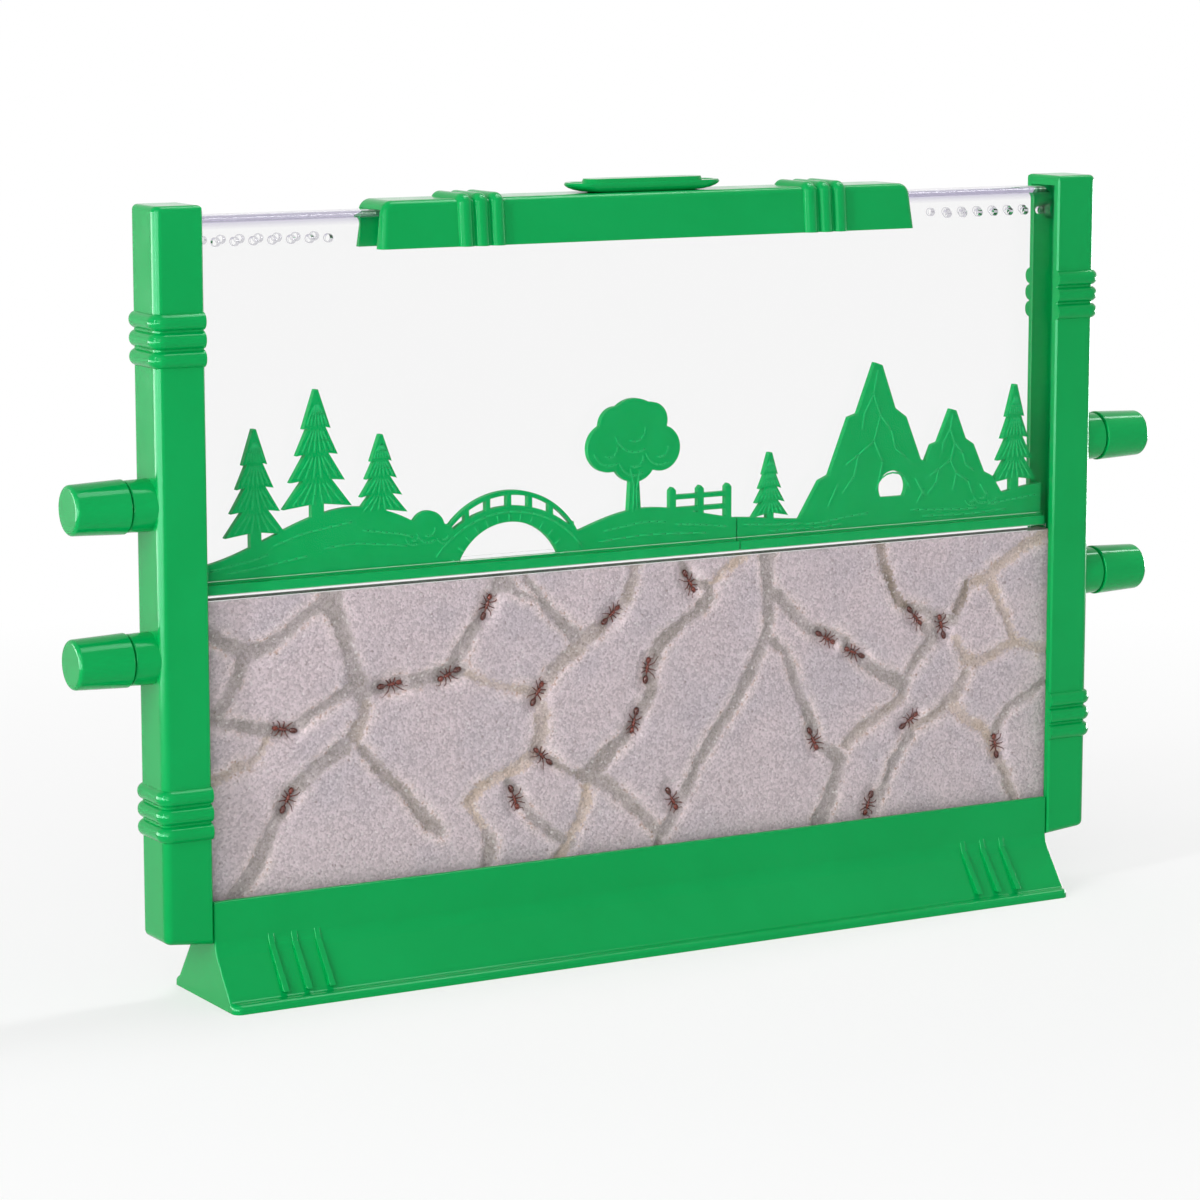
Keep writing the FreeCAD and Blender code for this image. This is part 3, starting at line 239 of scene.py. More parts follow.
class SandSettings(bpy.types.PropertyGroup):
    """The bed of sand and its tunnels."""

    colour: colour_property("Colour", "Undisturbed sand", (0.590, 0.497, 0.530))
    shade_colour: colour_property(
        "Shaded colour", "Cooler sand in broad patches away from the tunnels", (0.530, 0.460, 0.500))
    lip_colour: colour_property("Lip colour", "Paler sand thrown up beside the tunnels", (0.715, 0.605, 0.615))
    # The tunnels' floors are painted shade, darker than the sand, standing in for the shade inside tunnels that are
    # dug only shallow; tan_colour gives some tunnels a warmer, lighter painted shade and dark_colour a deeper one.
    tunnel_shade_colour: colour_property("Tunnel colour", "Damp sand on the floor of a tunnel", (0.360, 0.315, 0.305))
    tan_colour: colour_property("Tan colour", "Clay on the floor of some tunnels", (0.56, 0.44, 0.37))
    dark_colour: colour_property("Dark colour", "Wet sand on the floor of some tunnels", (0.27, 0.215, 0.175))
    mesh_size: length_property("Mesh size", "Width of one face of the sand", 0.0006, 0.0004)
    tunnel_depth: length_property("Tunnel depth", "How deep the ants have dug", 0.0005, 0.0)
    wall_slope: length_property("Wall slope", "Width over which a tunnel's wall crumbles down", 0.0012, 0.0001)
    ant_room: length_property("Ant room", "How far from an ant's body the sand is trodden down", 0.0036, 0.0001)
    room_depth: length_property("Room depth", "How far the sand is trodden down round an ant", 0.0014, 0.0)
    roughness_depth: length_property(
        "Roughness depth", "How far the grains stand apart on the sand's face", 0.00016, 0.0)
    grain_size: length_property("Grain size", "Width of one grain", 0.00052, 0.00005)


class AntSettings(bpy.types.PropertyGroup):
    """The worker ants."""

    colour: colour_property("Colour", "Red-brown of head and thorax", (0.17, 0.026, 0.013))
    dark_colour: colour_property("Dark colour", "Darker brown of the gaster and joints", (0.075, 0.013, 0.008))
    leg_radius: length_property("Leg radius", "Half the thickness of a leg at its root", 0.00013, 0.00002)


class StageSettings(bpy.types.PropertyGroup):
    """The floor, the lamps and the camera."""

    floor_size: length_property("Floor size", "Length of each side of the floor", 60.0, 1.0)
    floor_colour: colour_property("Floor colour", "Pale floor", (0.9, 0.9, 0.9))
    sky_light: FloatProperty(
        name="Room light", description="Strength of the light from all round", default=0.42, min=0.0,
    )
    key_power: power_property("Key lamp", "Lamp on the left", 11.5)
    fill_power: power_property("Fill lamp", "Lamp in front", 8.4)
    top_power: power_property("Top lamp", "Lamp overhead", 5.0)
    left_glow: power_property("Left panel", "Panel on the left that only the gloss shows", 9.0)
    top_glow: power_property("Top panel", "Panel overhead that only the gloss shows", 6.0)
    right_glow: power_property("Right panel", "Panel on the right that only the gloss shows", 4.8)
    lens: FloatProperty(
        name="Lens", description="Focal length", default=120.787, unit="CAMERA", min=1.0,
    )
    camera_place: FloatVectorProperty(
        name="Camera place", description="Where the camera stands",
        default=(-0.47544, -0.80687, 0.23290), size=3, subtype="TRANSLATION", unit="LENGTH",
    )
    camera_turn: FloatProperty(
        name="Camera turn", description="How far the camera is turned to the right",
        default=math.radians(29.910), subtype="ANGLE", unit="ROTATION",
    )
    camera_dip: FloatProperty(
        name="Camera dip", description="How far the camera looks down",
        default=math.radians(9.164), subtype="ANGLE", unit="ROTATION",
    )


class HabitatSettings(bpy.types.PropertyGroup):
    """All sizes and colours of the habitat's finish."""

    plastic: PointerProperty(type=PlasticSettings)
    scenery: PointerProperty(type=SceneryPlasticSettings)
    clear: PointerProperty(type=ClearSettings)
    sand: PointerProperty(type=SandSettings)
    ants: PointerProperty(type=AntSettings)
    stage: PointerProperty(type=StageSettings)


# ---- helpers for meshes


def mesh_object(name, shape):
    """A finished object at the origin from a bmesh, which is freed."""
    mesh = bpy.data.meshes.new(name)
    shape.to_mesh(mesh)
    shape.free()
    piece = bpy.data.objects.new(name, mesh)
    bpy.context.scene.collection.objects.link(piece)
    return piece


def merged_copy(node):
    """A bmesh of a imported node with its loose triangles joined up."""
    shape = bmesh.new()
    shape.from_mesh(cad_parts[node].data)
    bmesh.ops.remove_doubles(shape, verts=shape.verts, dist=MERGE_DISTANCE)
    return shape


def shade_smooth(piece, angle):
    """Smooth shading, with edges sharper than the angle kept sharp."""
    piece.data.shade_smooth()
    piece.data.set_sharp_from_angle(angle=angle)


def rod(shape, start, end, radius, end_radius):
    """A thin tapered rod between two points; returns its vertices."""
    along = end - start
    spot = Matrix.Translation((start + end) / 2) @ along.to_track_quat("Z", "Y").to_matrix().to_4x4()
    made = bmesh.ops.create_cone(shape, cap_ends=True, segments=ROD_SIDES, radius1=radius,
                                 radius2=end_radius, depth=along.length, matrix=spot)
    return made["verts"]


def paint(piece, material):
    """Gives a piece one material."""
    piece.data.materials.clear()
    piece.data.materials.append(material)


# ---- helpers for materials


class NodeSheet:
    """A material's node tree, with short calls for the nodes that the finishes share."""

    def __init__(self, name):
        self.material = bpy.data.materials.new(name)
        self.material.use_nodes = True
        self.tree = self.material.node_tree
        self.tree.nodes.clear()
        self.output = self.add("ShaderNodeOutputMaterial")
        self.shader = self.add("ShaderNodeBsdfPrincipled")
        self.link(self.shader.outputs[0], self.output.inputs["Surface"])
        self.place = self.add("ShaderNodeTexCoord").outputs["Object"]

    def add(self, kind, **values):
        node = self.tree.nodes.new(kind)
        for name, value in values.items():
            setattr(node, name, value)
        return node

    def link(self, start, end):
        self.tree.links.new(start, end)

    def feed(self, socket, value):
        """Sets a socket to a number or a colour, or links another node's output to it."""
        if isinstance(value, bpy.types.NodeSocket):
            self.link(value, socket)
        elif isinstance(value, (int, float)):
            socket.default_value = value
        else:
            socket.default_value = (*value, 1.0)

    def finish(self, name, value):
        """Sets or links one of the shader's own sockets."""
        self.feed(self.shader.inputs[name], value)

    def clouds(self, width, detail=2.0, roughness=0.5, distortion=0.0):
        """A noise whose patches are about as wide as given, 0 to 1."""
        node = self.add("ShaderNodeTexNoise")
        node.inputs["Scale"].default_value = 1.0 / width
        node.inputs["Detail"].default_value = detail
        node.inputs["Roughness"].default_value = roughness
        node.inputs["Distortion"].default_value = distortion
        self.link(self.place, node.inputs["Vector"])
        return node.outputs["Fac"]

    def streaks(self, length, width):
        """A noise drawn out along X, 0 to 1."""
        stretch = self.add("ShaderNodeMapping")
        stretch.inputs["Scale"].default_value = (width / length, 1.0, 1.0)
        self.link(self.place, stretch.inputs["Vector"])
        node = self.add("ShaderNodeTexNoise")
        node.inputs["Scale"].default_value = 1.0 / width
        self.link(stretch.outputs[0], node.inputs["Vector"])
        return node.outputs["Fac"]

    def cells(self, width):
        """Scattered cells about as wide as given: each one's colour, and the distance from its middle."""
        node = self.add("ShaderNodeTexVoronoi")
        node.inputs["Scale"].default_value = 1.0 / width
        self.link(self.place, node.inputs["Vector"])
        return node

    def ramp(self, source, low, high, bottom=0.0, top=1.0):
        """Maps a value from one range to another, held at both ends."""
        node = self.add("ShaderNodeMapRange", clamp=True)
        self.link(source, node.inputs["Value"])
        for name, value in (("From Min", low), ("From Max", high), ("To Min", bottom), ("To Max", top)):
            node.inputs[name].default_value = value
        return node.outputs["Result"]

    def maths(self, operation, first, second):
        node = self.add("ShaderNodeMath", operation=operation)
        for socket, value in zip(node.inputs, (first, second)):
            self.feed(socket, value)
        return node.outputs[0]

    def blend(self, share, first, second, mode="MIX"):
        """Two colours mixed by a share, each a colour or another node's output."""
        node = self.add("ShaderNodeMix", data_type="RGBA", blend_type=mode)
        for socket, value in ((node.inputs["Factor"], share), (node.inputs[6], first), (node.inputs[7], second)):
            self.feed(socket, value)
        return node.outputs[2]

    def bump(self, height, depth):
        """Ripples of a real depth in metres."""
        node = self.add("ShaderNodeBump")
        node.inputs["Strength"].default_value = 1.0
        node.inputs["Distance"].default_value = depth
        self.link(height, node.inputs["Height"])
        self.link(node.outputs[0], self.shader.inputs["Normal"])


def seeing_rays(tree):
    """1 for rays that see the background: from the camera, through clear plastic or off gloss."""
    rays = tree.nodes.new("ShaderNodeLightPath")
    seen = rays.outputs["Is Camera Ray"]
    for name in ("Is Transmission Ray", "Is Glossy Ray"):
        either = tree.nodes.new("ShaderNodeMath")
        either.operation = "MAXIMUM"
        tree.links.new(seen, either.inputs[0])
        tree.links.new(rays.outputs[name], either.inputs[1])
        seen = either.outputs[0]
    return seen


def green_plastic(settings):
    """Glossy moulded green with faint flow clouds and a rippled skin."""
    sheet = NodeSheet("green_plastic")
    flow = sheet.ramp(sheet.clouds(settings.flow_size, 3.0, 0.5, 0.6), 0.35, 0.7)
    sheet.finish("Base Color", sheet.blend(flow, settings.colour, settings.light_colour))
    gloss = sheet.ramp(sheet.clouds(settings.flow_size / 5, 4.0), 0.3, 0.7,
                       settings.roughness - 0.04, settings.roughness + 0.05)
    sheet.finish("Roughness", gloss)
    sheet.finish("Specular Tint", settings.gloss_tint)
    sheet.finish("Specular IOR Level", settings.gloss)
    sheet.bump(sheet.clouds(settings.skin_size, 2.0), 0.00001)
    return sheet.material


def scenery_plastic(name, colour, settings):
    """Flatter green with pale specks."""
    sheet = NodeSheet(name)
    specks = sheet.ramp(sheet.clouds(0.0011, 2.0, 0.7), 0.66, 0.74)
    broad = sheet.ramp(sheet.clouds(0.006, 3.0), 0.35, 0.75, 0.0, 0.25)
    shade = sheet.blend(broad, colour, settings.speck_and_relief_highlight_colour)
    sheet.finish("Base Color", sheet.blend(specks, shade, settings.speck_and_relief_highlight_colour))
    gloss = sheet.ramp(sheet.clouds(0.003, 3.0), 0.3, 0.7, 0.36, 0.5)
    sheet.finish("Roughness", gloss)
    sheet.finish("Specular Tint", (0.1, 0.8, 0.4))
    sheet.finish("Specular IOR Level", 0.12)
    sheet.bump(sheet.clouds(0.0012, 4.0, 0.6), 0.00004)
    return sheet.material


def clear_places(sheet):
    """How far each point lies from the habitat's middle, and how high."""
    parts = sheet.add("ShaderNodeSeparateXYZ")
    sheet.link(sheet.place, parts.inputs[0])
    return sheet.maths("ABSOLUTE", parts.outputs["X"], 0.0), parts.outputs["Z"]


def vent_rings(sheet, across, up):
    """1 on the walls of the vents and close round them, where their painted shade goes; 0 elsewhere."""
    wrap = sheet.add("ShaderNodeMath", operation="WRAP")
    sheet.link(across, wrap.inputs[0])
    wrap.inputs[1].default_value = FIRST_VENT + VENT_PITCH / 2
    wrap.inputs[2].default_value = FIRST_VENT - VENT_PITCH / 2
    beside = sheet.maths("SUBTRACT", wrap.outputs[0], FIRST_VENT)
    above = sheet.maths("SUBTRACT", up, VENT_HEIGHT)
    away = sheet.maths("SQRT", sheet.maths("ADD", sheet.maths("MULTIPLY", beside, beside),
                                           sheet.maths("MULTIPLY", above, above)), 0.0)
    near = sheet.ramp(away, VENT_RADIUS + 0.06 * MM, VENT_RADIUS + 0.15 * MM, 1.0, 0.0)
    row = sheet.ramp(across, FIRST_VENT - 1.5 * MM, FIRST_VENT - 1.4 * MM)
    return sheet.maths("MULTIPLY", near, row)


def clear_plastic(settings):
    """Clear moulded plastic that lets lamps and soft light through to the sand, with painted shade in streaks along
    the thick rim and round the vents.
    """
    sheet = NodeSheet("clear_plastic")
    across, up = clear_places(sheet)
    streaks = sheet.ramp(sheet.streaks(0.05, 0.0006), 0.3, 0.7, 0.75, 1.0)
    # painted shade in streaks along the thick rim, paler towards its top
    rim = sheet.maths("MULTIPLY", sheet.ramp(up, RIM_FOOT + 0.2 * MM, RIM_FOOT + 1.9 * MM), streaks)
    rim = sheet.maths("MULTIPLY", rim, sheet.ramp(up, RIM_FOOT + 2.3 * MM, RIM_FOOT + 3.1 * MM, 1.0, 0.6))
    shade = sheet.blend(rim, settings.tint, settings.rim_shade_tint)
    # painted shade on the vents' walls and close round them
    ring = vent_rings(sheet, across, up)
    sheet.finish("Base Color", sheet.blend(ring, shade, settings.vent_shade_tint))
    sheet.finish("Transmission Weight", 1.0)
    sheet.finish("IOR", settings.index)
    sheet.finish("Specular Tint", (settings.gloss,) * 3)
    sheet.finish("Roughness", sheet.ramp(sheet.clouds(0.02, 3.0), 0.4, 0.8, 0.0, 0.03))
    sheet.bump(sheet.clouds(0.03, 2.0), 0.000008)
    rays = sheet.add("ShaderNodeLightPath")
    through = sheet.add("ShaderNodeBsdfTransparent")
    through.inputs[0].default_value = (0.995, 0.995, 0.995, 1.0)
    choose = sheet.add("ShaderNodeMixShader")
    soft = sheet.maths("MAXIMUM", rays.outputs["Is Shadow Ray"], rays.outputs["Is Diffuse Ray"])
    spent = sheet.maths("GREATER_THAN", rays.outputs["Ray Depth"], 4.5)
    studs = sheet.ramp(across, STUD_X - STUD_RADIUS - 0.1 * MM, STUD_X - STUD_RADIUS + 0.4 * MM, 0.0, 0.85)
    sheet.link(sheet.maths("MAXIMUM", sheet.maths("MAXIMUM", soft, spent), studs), choose.inputs[0])
    sheet.link(sheet.shader.outputs[0], choose.inputs[1])
    sheet.link(through.outputs[0], choose.inputs[2])
    sheet.link(choose.outputs[0], sheet.output.inputs["Surface"])
    return sheet.material


def sand_material(settings):
    """Fine pale grains, paler beside the tunnels; painted shade on the tunnels' floors, in a grey, a tan and a dark
    tone by tunnel.
    """
    sheet = NodeSheet("sand")
    dug, lip, tone = (sheet.add("ShaderNodeAttribute", attribute_name=name).outputs["Fac"]
                      for name in ("dug", "lip", "tone"))
    grains = sheet.cells(settings.grain_size)
    grey = sheet.add("ShaderNodeSeparateColor")
    sheet.link(grains.outputs["Color"], grey.inputs[0])
    broad = sheet.ramp(sheet.clouds(0.022, 2.0), 0.46, 0.66)
    shade = sheet.blend(broad, settings.colour, settings.shade_colour)
    patchy = sheet.ramp(sheet.clouds(0.008, 3.0), 0.38, 0.6, 0.1, 1.0)
    shade = sheet.blend(sheet.maths("MULTIPLY", lip, patchy), shade, settings.lip_colour)
    # painted shade on the tunnels' floors, in each tunnel's tone
    floor = sheet.blend(sheet.ramp(tone, 0.0, 1.0), settings.tunnel_shade_colour, settings.tan_colour)
    floor = sheet.blend(sheet.ramp(tone, 0.0, -1.0), floor, settings.dark_colour)
    frayed = sheet.maths("ADD", dug, sheet.ramp(grey.outputs[0], 0.0, 1.0, -0.42, 0.42))
    cover = sheet.ramp(sheet.clouds(0.004, 3.0), 0.35, 0.65, 0.65, 1.0)
    shade = sheet.blend(sheet.maths("MULTIPLY", sheet.ramp(frayed, 0.38, 0.62), cover), shade, floor)
    grain_tone = sheet.ramp(grey.outputs[0], 0.0, 1.0, 0.80, 1.20)
    shade = sheet.blend(1.0, shade, sheet.maths("MULTIPLY", grain_tone,
                        sheet.ramp(sheet.clouds(0.006, 4.0, 0.6), 0.3, 0.7, 0.96, 1.04)), "MULTIPLY")
    warm = sheet.ramp(sheet.maths("MULTIPLY", lip, grey.outputs[2]), 0.64, 0.78, 0.0, 0.55)
    shade = sheet.blend(sheet.maths("MULTIPLY", warm, patchy), shade, RUST_GRAIN)
    white = sheet.ramp(grey.outputs[1], 0.95, 0.99, 0.0, 0.45)
    dark = sheet.ramp(grey.outputs[2], 0.97, 0.99, 0.0, 0.35)
    shade = sheet.blend(white, shade, PALE_GRAIN)
    shade = sheet.blend(dark, shade, DARK_GRAIN)
    sheet.finish("Base Color", shade)
    sheet.finish("Roughness", sheet.ramp(grey.outputs[1], 0.0, 1.0, 0.75, 0.95))
    sheet.finish("Specular IOR Level", 0.2)
    height = sheet.maths("ADD", sheet.ramp(grains.outputs["Distance"], 0.0, 0.8, 1.0, 0.0),
                         sheet.clouds(0.0012, 4.0))
    sheet.bump(height, 0.00007)
    return sheet.material


def ant_material(settings):
    """Shiny red-brown shell, darker at the back."""
    sheet = NodeSheet("ant_shell")
    dark = sheet.add("ShaderNodeAttribute", attribute_name="dark").outputs["Fac"]
    mottled = sheet.ramp(sheet.clouds(0.0006, 3.0), 0.3, 0.7, -0.15, 0.25)
    share = sheet.ramp(sheet.maths("ADD", dark, mottled), 0.0, 1.0)
    sheet.finish("Base Color", sheet.blend(share, settings.colour, settings.dark_colour))
    sheet.finish("Roughness", sheet.ramp(mottled, -0.15, 0.25, 0.22, 0.38))
    sheet.bump(sheet.clouds(0.0002, 2.0), 0.00001)
    return sheet.material


# ---- the sand


def sand_place(across, up):
    """A point of the sand's face in metres, from thousandths of the view's width and the sand's depth."""
    return VIEW_WIDTH * (across / 1000 - 0.5), SAND_FOOT + SAND_DEPTH * up / 1000


def nearest_tunnel(x, z):
    """How far each point lies outside the nearest tunnel, negative inside one, and that tunnel's tone."""
    nearest, tones = np.full(len(x), 1.0), np.zeros(len(x))
    for tone, chain in TUNNELS:
        ends = [(*sand_place(across, up), 0.1 * MM * half) for across, up, half in chain]
        for (x0, z0, start), (x1, z1, end) in zip(ends, ends[1:]):
            away = run_distance(x, z, (x0, z0), (x1, z1), start, end)
            tones = np.where(away < nearest, tone, tones)
            nearest = np.minimum(nearest, away)
    return nearest, tones


def run_distance(x, z, start, end, start_radius, end_radius):
    """How far each point lies outside one tapering run."""
    dx, dz = end[0] - start[0], end[1] - start[1]
    share = np.clip(((x - start[0]) * dx + (z - start[1]) * dz) / (dx * dx + dz * dz), 0.0, 1.0)
    radius = start_radius + (end_radius - start_radius) * share
    return np.hypot(x - start[0] - share * dx, z - start[1] - share * dz) - radius


def ant_rooms(x, z, reach):
    """How near each point lies to an ant: 1 beside its body, 0 beyond its feet."""
    nearest = np.full(len(x), 1.0)
    for middle, way in ant_places():
        tail, head = middle - way * ANT_HALF_LENGTH * MM, middle + way * ANT_HALF_LENGTH * MM
        nearest = np.minimum(nearest, run_distance(x, z, (tail.x, tail.z), (head.x, head.z), 0.0, 0.0))
    return np.clip((reach - nearest) / (0.75 * reach), 0.0, 1.0)


def crumble(places, size, seed):
    """One noise value for each place, between about -1 and 1."""
    shift = Vector((seed, 2 * seed, 3 * seed))
    return np.array([noise.noise(place / size + shift) for place in places])


def sand_face(shape, low, high, y, mesh_size):
    """One flat face of the bed of sand, as a grid; returns its vertices."""
    half = (high - low) / 2
    spot = Matrix.Translation(((low.x + high.x) / 2, y, (low.z + high.z) / 2))
    spot = spot @ Matrix.Rotation(math.pi / 2, 4, "X") @ Matrix.Diagonal((half.x, half.z, 1.0, 1.0))
    made = bmesh.ops.create_grid(shape, x_segments=round(2 * half.x / mesh_size),
                                 y_segments=round(2 * half.z / mesh_size), size=1.0, matrix=spot)
    return made["verts"]


def sand_shape(settings):
    """The bed of sand: both faces dug out along the tunnels and roughened, and closed round the edge."""
    low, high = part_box("sand_fill")
    shape = bmesh.new()
    layers = [shape.verts.layers.float.new(name) for name in ("dug", "lip", "tone")]
    front, back = (sand_face(shape, low, high, y, settings.mesh_size) for y in (low.y, high.y))
    places = [vertex.co.copy() for vertex in front]
    x = np.array([place.x for place in places])
    z = np.array([place.z for place in places])
    ragged = sum(strength * crumble(places, width, seed) for strength, width, seed in RAGGED)
    away, tones = nearest_tunnel(x, z)
    away = away + ragged * MM
    share = np.clip(0.5 - away / settings.wall_slope, 0.0, 1.0)
    share = share * share * (3 - 2 * share)
    lips = np.clip(1.0 - np.abs(away - LIP_MIDDLE) / LIP_REACH, 0.0, 1.0)
    grains = 0.5 + 0.5 * crumble(places, 1.0 * MM, 4)
    lumps = 0.5 + 0.5 * crumble(places, 3.0 * MM, 5)
    dug = share * (settings.tunnel_depth - LUMP_HEIGHT * lumps)
    rough = settings.roughness_depth * grains
    rooms = ant_rooms(x, z, settings.ant_room) * settings.room_depth
    for vertices, depth in ((front, np.maximum(dug, rooms) + rough), (back, -dug - rough)):
        for index, vertex in enumerate(vertices):
            vertex.co.y += depth[index]
            for layer, values in zip(layers, (share, lips, tones)):
                vertex[layer] = values[index]
    bmesh.ops.bridge_loops(shape, edges=[edge for edge in shape.edges if edge.is_boundary])
    bmesh.ops.recalc_face_normals(shape, faces=shape.faces)
    return shape


# ---- the ants


def ball(shape, place, size, layer, dark):
    """An ellipsoid of an ant's body."""
    spot = Matrix.Translation(place) @ Matrix.Diagonal((*size, 1.0))
    made = bmesh.ops.create_uvsphere(shape, u_segments=BALL_SIDES, v_segments=BALL_RINGS, radius=1.0,
                                     matrix=spot)
    for vertex in made["verts"]:
        vertex[layer] = dark


def limb(shape, start, end, radius, end_radius, layer, dark):
    """One tapered stretch of a leg or feeler."""
    for vertex in rod(shape, start, end, radius, end_radius):
        vertex[layer] = dark


def one_ant(spot, leg_radius, dice):
    """A mesh of one worker: head towards +X, back towards +Z, then put in place by its matrix."""
    body = [
        ((-2.1, 0, 0.1), (1.05, 0.66, 0.66), 0.9), ((-0.86, 0, 0.05), (0.22, 0.17, 0.3), 0.6),
        ((-0.46, 0, 0), (0.25, 0.15, 0.18), 0.5), ((0.08, 0, 0.05), (0.6, 0.31, 0.34), 0.25),
        ((0.92, 0, 0.12), (0.7, 0.38, 0.4), 0.1), ((2.45, 0, 0.05), (0.74, 0.6, 0.46), 0.05),
        ((1.7, 0, 0.08), (0.2, 0.16, 0.16), 0.4),
    ]
    shape = bmesh.new()
    layer = shape.verts.layers.float.new("dark")
    for place, size, dark in body:
        ball(shape, Vector(place) * MM, Vector(size) * MM, layer, dark)
    for side in (-1, 1):
        ball(shape, Vector((2.6, side * 0.5, 0.2)) * MM, Vector((0.13, 0.1, 0.13)) * MM, layer, 1.0)
        jaw = Vector((3.05, side * 0.3, 0.0)) * MM
        limb(shape, jaw, jaw + Vector((0.4, -side * 0.22, -0.05)) * MM, 0.14 * MM, 0.05 * MM, layer, 0.5)
        brow = Vector((2.9, side * 0.3, 0.2)) * MM
        elbow = brow + Vector((0.3, side * (0.85 + 0.2 * dice.random()), 0.12)) * MM
        tip = elbow + Vector((1.0 + 0.3 * dice.random(), side * 0.1 * (dice.random() - 0.5), -0.2)) * MM
        limb(shape, brow, elbow, leg_radius * 0.7, leg_radius * 0.5, layer, 0.4)
        limb(shape, elbow, tip, leg_radius * 0.5, leg_radius * 0.6, layer, 0.6)
        for root_x, sweep in ((1.25, 0.95), (0.55, 0.1), (0.05, -0.95)):
            hip = Vector((root_x, side * 0.28, -0.05)) * MM
            swing = sweep + 0.5 * (dice.random() - 0.5)
            knee = hip + Vector((swing * 0.75, side * (1.05 + 0.2 * dice.random()), 0.4)) * MM
            heel = knee + Vector((swing * 1.0, side * (0.6 + 0.25 * dice.random()), -0.5)) * MM
            toe = heel + Vector((swing * 0.5, side * 0.25, -0.12)) * MM
            limb(shape, hip, knee, leg_radius * 1.25, leg_radius * 0.85, layer, 0.35)
            limb(shape, knee, heel, leg_radius * 0.9, leg_radius * 0.55, layer, 0.5)
            limb(shape, heel, toe, leg_radius * 0.55, leg_radius * 0.35, layer, 0.7)
            ball(shape, knee, Vector((leg_radius,) * 3), layer, 0.5)
    bmesh.ops.transform(shape, matrix=spot, verts=shape.verts)
    mesh = bpy.data.meshes.new("ant")
    shape.to_mesh(mesh)
    shape.free()
    return mesh


def islands(shape):
    """The separate pieces of a bmesh, each as an array of its vertices' places."""
    shape.verts.ensure_lookup_table()
    left, found = set(shape.verts), []
    while left:
        todo, group = [left.pop()], []
        while todo:
            vertex = todo.pop()
            group.append(tuple(vertex.co))
            for edge in vertex.link_edges:
                other = edge.other_vert(vertex)
                if other in left:
                    left.discard(other)
                    todo.append(other)
        found.append(np.array(group))
    return sorted(found, key=lambda group: tuple(group.mean(0).round(5)))


def ant_places():
    """Where each packed ant lies: the middle of its body and the way its head points."""
    shape = merged_copy("ants")
    spots = []
    for group in islands(shape):
        middle = (group.min(0) + group.max(0)) / 2
        axes = np.linalg.svd(group - group.mean(0), full_matrices=False)[2]
        along = (group - middle) @ axes[0]
        across = np.linalg.norm((group - middle) - np.outer(along, axes[0]), axis=1)
        head_wide = across[along > 0.4 * along.max()].max()
        tail_wide = across[along < 0.4 * along.min()].max()
        way = axes[0] if head_wide < tail_wide else -axes[0]
        spots.append((Vector(middle), Vector(way)))
    shape.free()
    return spots


# ---- the raised lines on the inserts, as courses of (x, z) points in millimetres


def arc_course(x, z, radius, start, end, steps=6):
    """Points along an arc between two angles in degrees."""
    angles = [math.radians(start + (end - start) * step / steps) for step in range(steps + 1)]
    return [(x + radius * math.cos(angle), z + radius * math.sin(angle)) for angle in angles]


def fir_courses(x, root, height, spread):
    """Needles that hang from each of a fir's four tiers."""
    trunk = height * 0.14
    step = (height - trunk) / 4.35
    for tier in range(4):
        reach = spread / 2 * (1 - 0.2 * tier)
        low = root + trunk + step * tier
        gather = 0.3 if tier < 3 else 0.08
        for share in (-0.86, -0.52, -0.17, 0.17, 0.52, 0.86):
            yield [(x + share * reach * gather, low + step * 0.8), (x + share * reach * 0.58, low + step * 0.38),
                   (x + share * reach * 0.84, low)]


def leaf_courses(x, z, radius, lobes):
    """Two scallops in each lobe of a round tree or bush."""
    for across, up, size in lobes:
        middle = (x + across * radius, z + up * radius)
        yield arc_course(*middle, size * radius * 0.74, -165, -60)
        yield arc_course(*middle, size * radius * 0.40, -120, 10, 4)


def peak_courses(x, root, half_width, height):
    """The ridge of a peak and the spurs that run down from it."""
    ridge = [(-0.01, 0.95), (-0.06, 0.8), (0.03, 0.66), (-0.05, 0.5), (0.06, 0.36), (0.0, 0.2)]
    spurs = [
        [(-0.06, 0.8), (-0.17, 0.68), (-0.2, 0.58)], [(0.03, 0.66), (0.17, 0.56), (0.22, 0.44)],
        [(-0.05, 0.5), (-0.24, 0.42), (-0.3, 0.28), (-0.44, 0.18)],
        [(0.06, 0.36), (0.27, 0.28), (0.34, 0.16)], [(-0.24, 0.42), (-0.4, 0.36)],
        [(0.22, 0.44), (0.36, 0.38)], [(-0.5, 0.24), (-0.62, 0.1)], [(0.48, 0.24), (0.6, 0.12)],
    ]
    for course in [ridge] + spurs:
        yield [(x + dx * half_width, root + dz * height) for dx, dz in course]


def bridge_courses(x, foot):
    """The bridge's deck line and the stones round the way under it."""
    half, rise = 20.4, 11.2
    way_half, way_rise = 13.0, 8.2
    radius = (half * half + rise * rise) / (2 * rise)
    spread = math.degrees(math.asin(half / radius))
    yield arc_course(x, foot + rise - radius, radius, 90 + spread * 0.9, 90 - spread * 0.9, 14)
    inner = (way_half ** 2 + way_rise ** 2) / (2 * way_rise)
    centre = foot + 0.6 + way_rise - inner
    for number in range(13):
        angle = math.radians(90 + (number - 6) * 11.0)
        near, far = inner + 0.25, inner + 1.9
        yield [(x + near * math.cos(angle), centre + near * math.sin(angle)),
               (x + far * math.cos(angle), centre + far * math.sin(angle))]


def furrow_courses(insert, heights, furrows):
    """Long furrows that follow the hills: where each starts and ends along the insert, and how high it runs."""
    left, span = insert
    for start, end, share in furrows:
        course = []
        for step in range(9):
            along = start + (end - start) * step / 8
            place = along * (len(heights) - 1)
            index = min(int(place), len(heights) - 2)
            height = heights[index] + (heights[index + 1] - heights[index]) * (place - index)
            course.append((left + span * along, RELIEF_FOOT + height * share))
        yield course


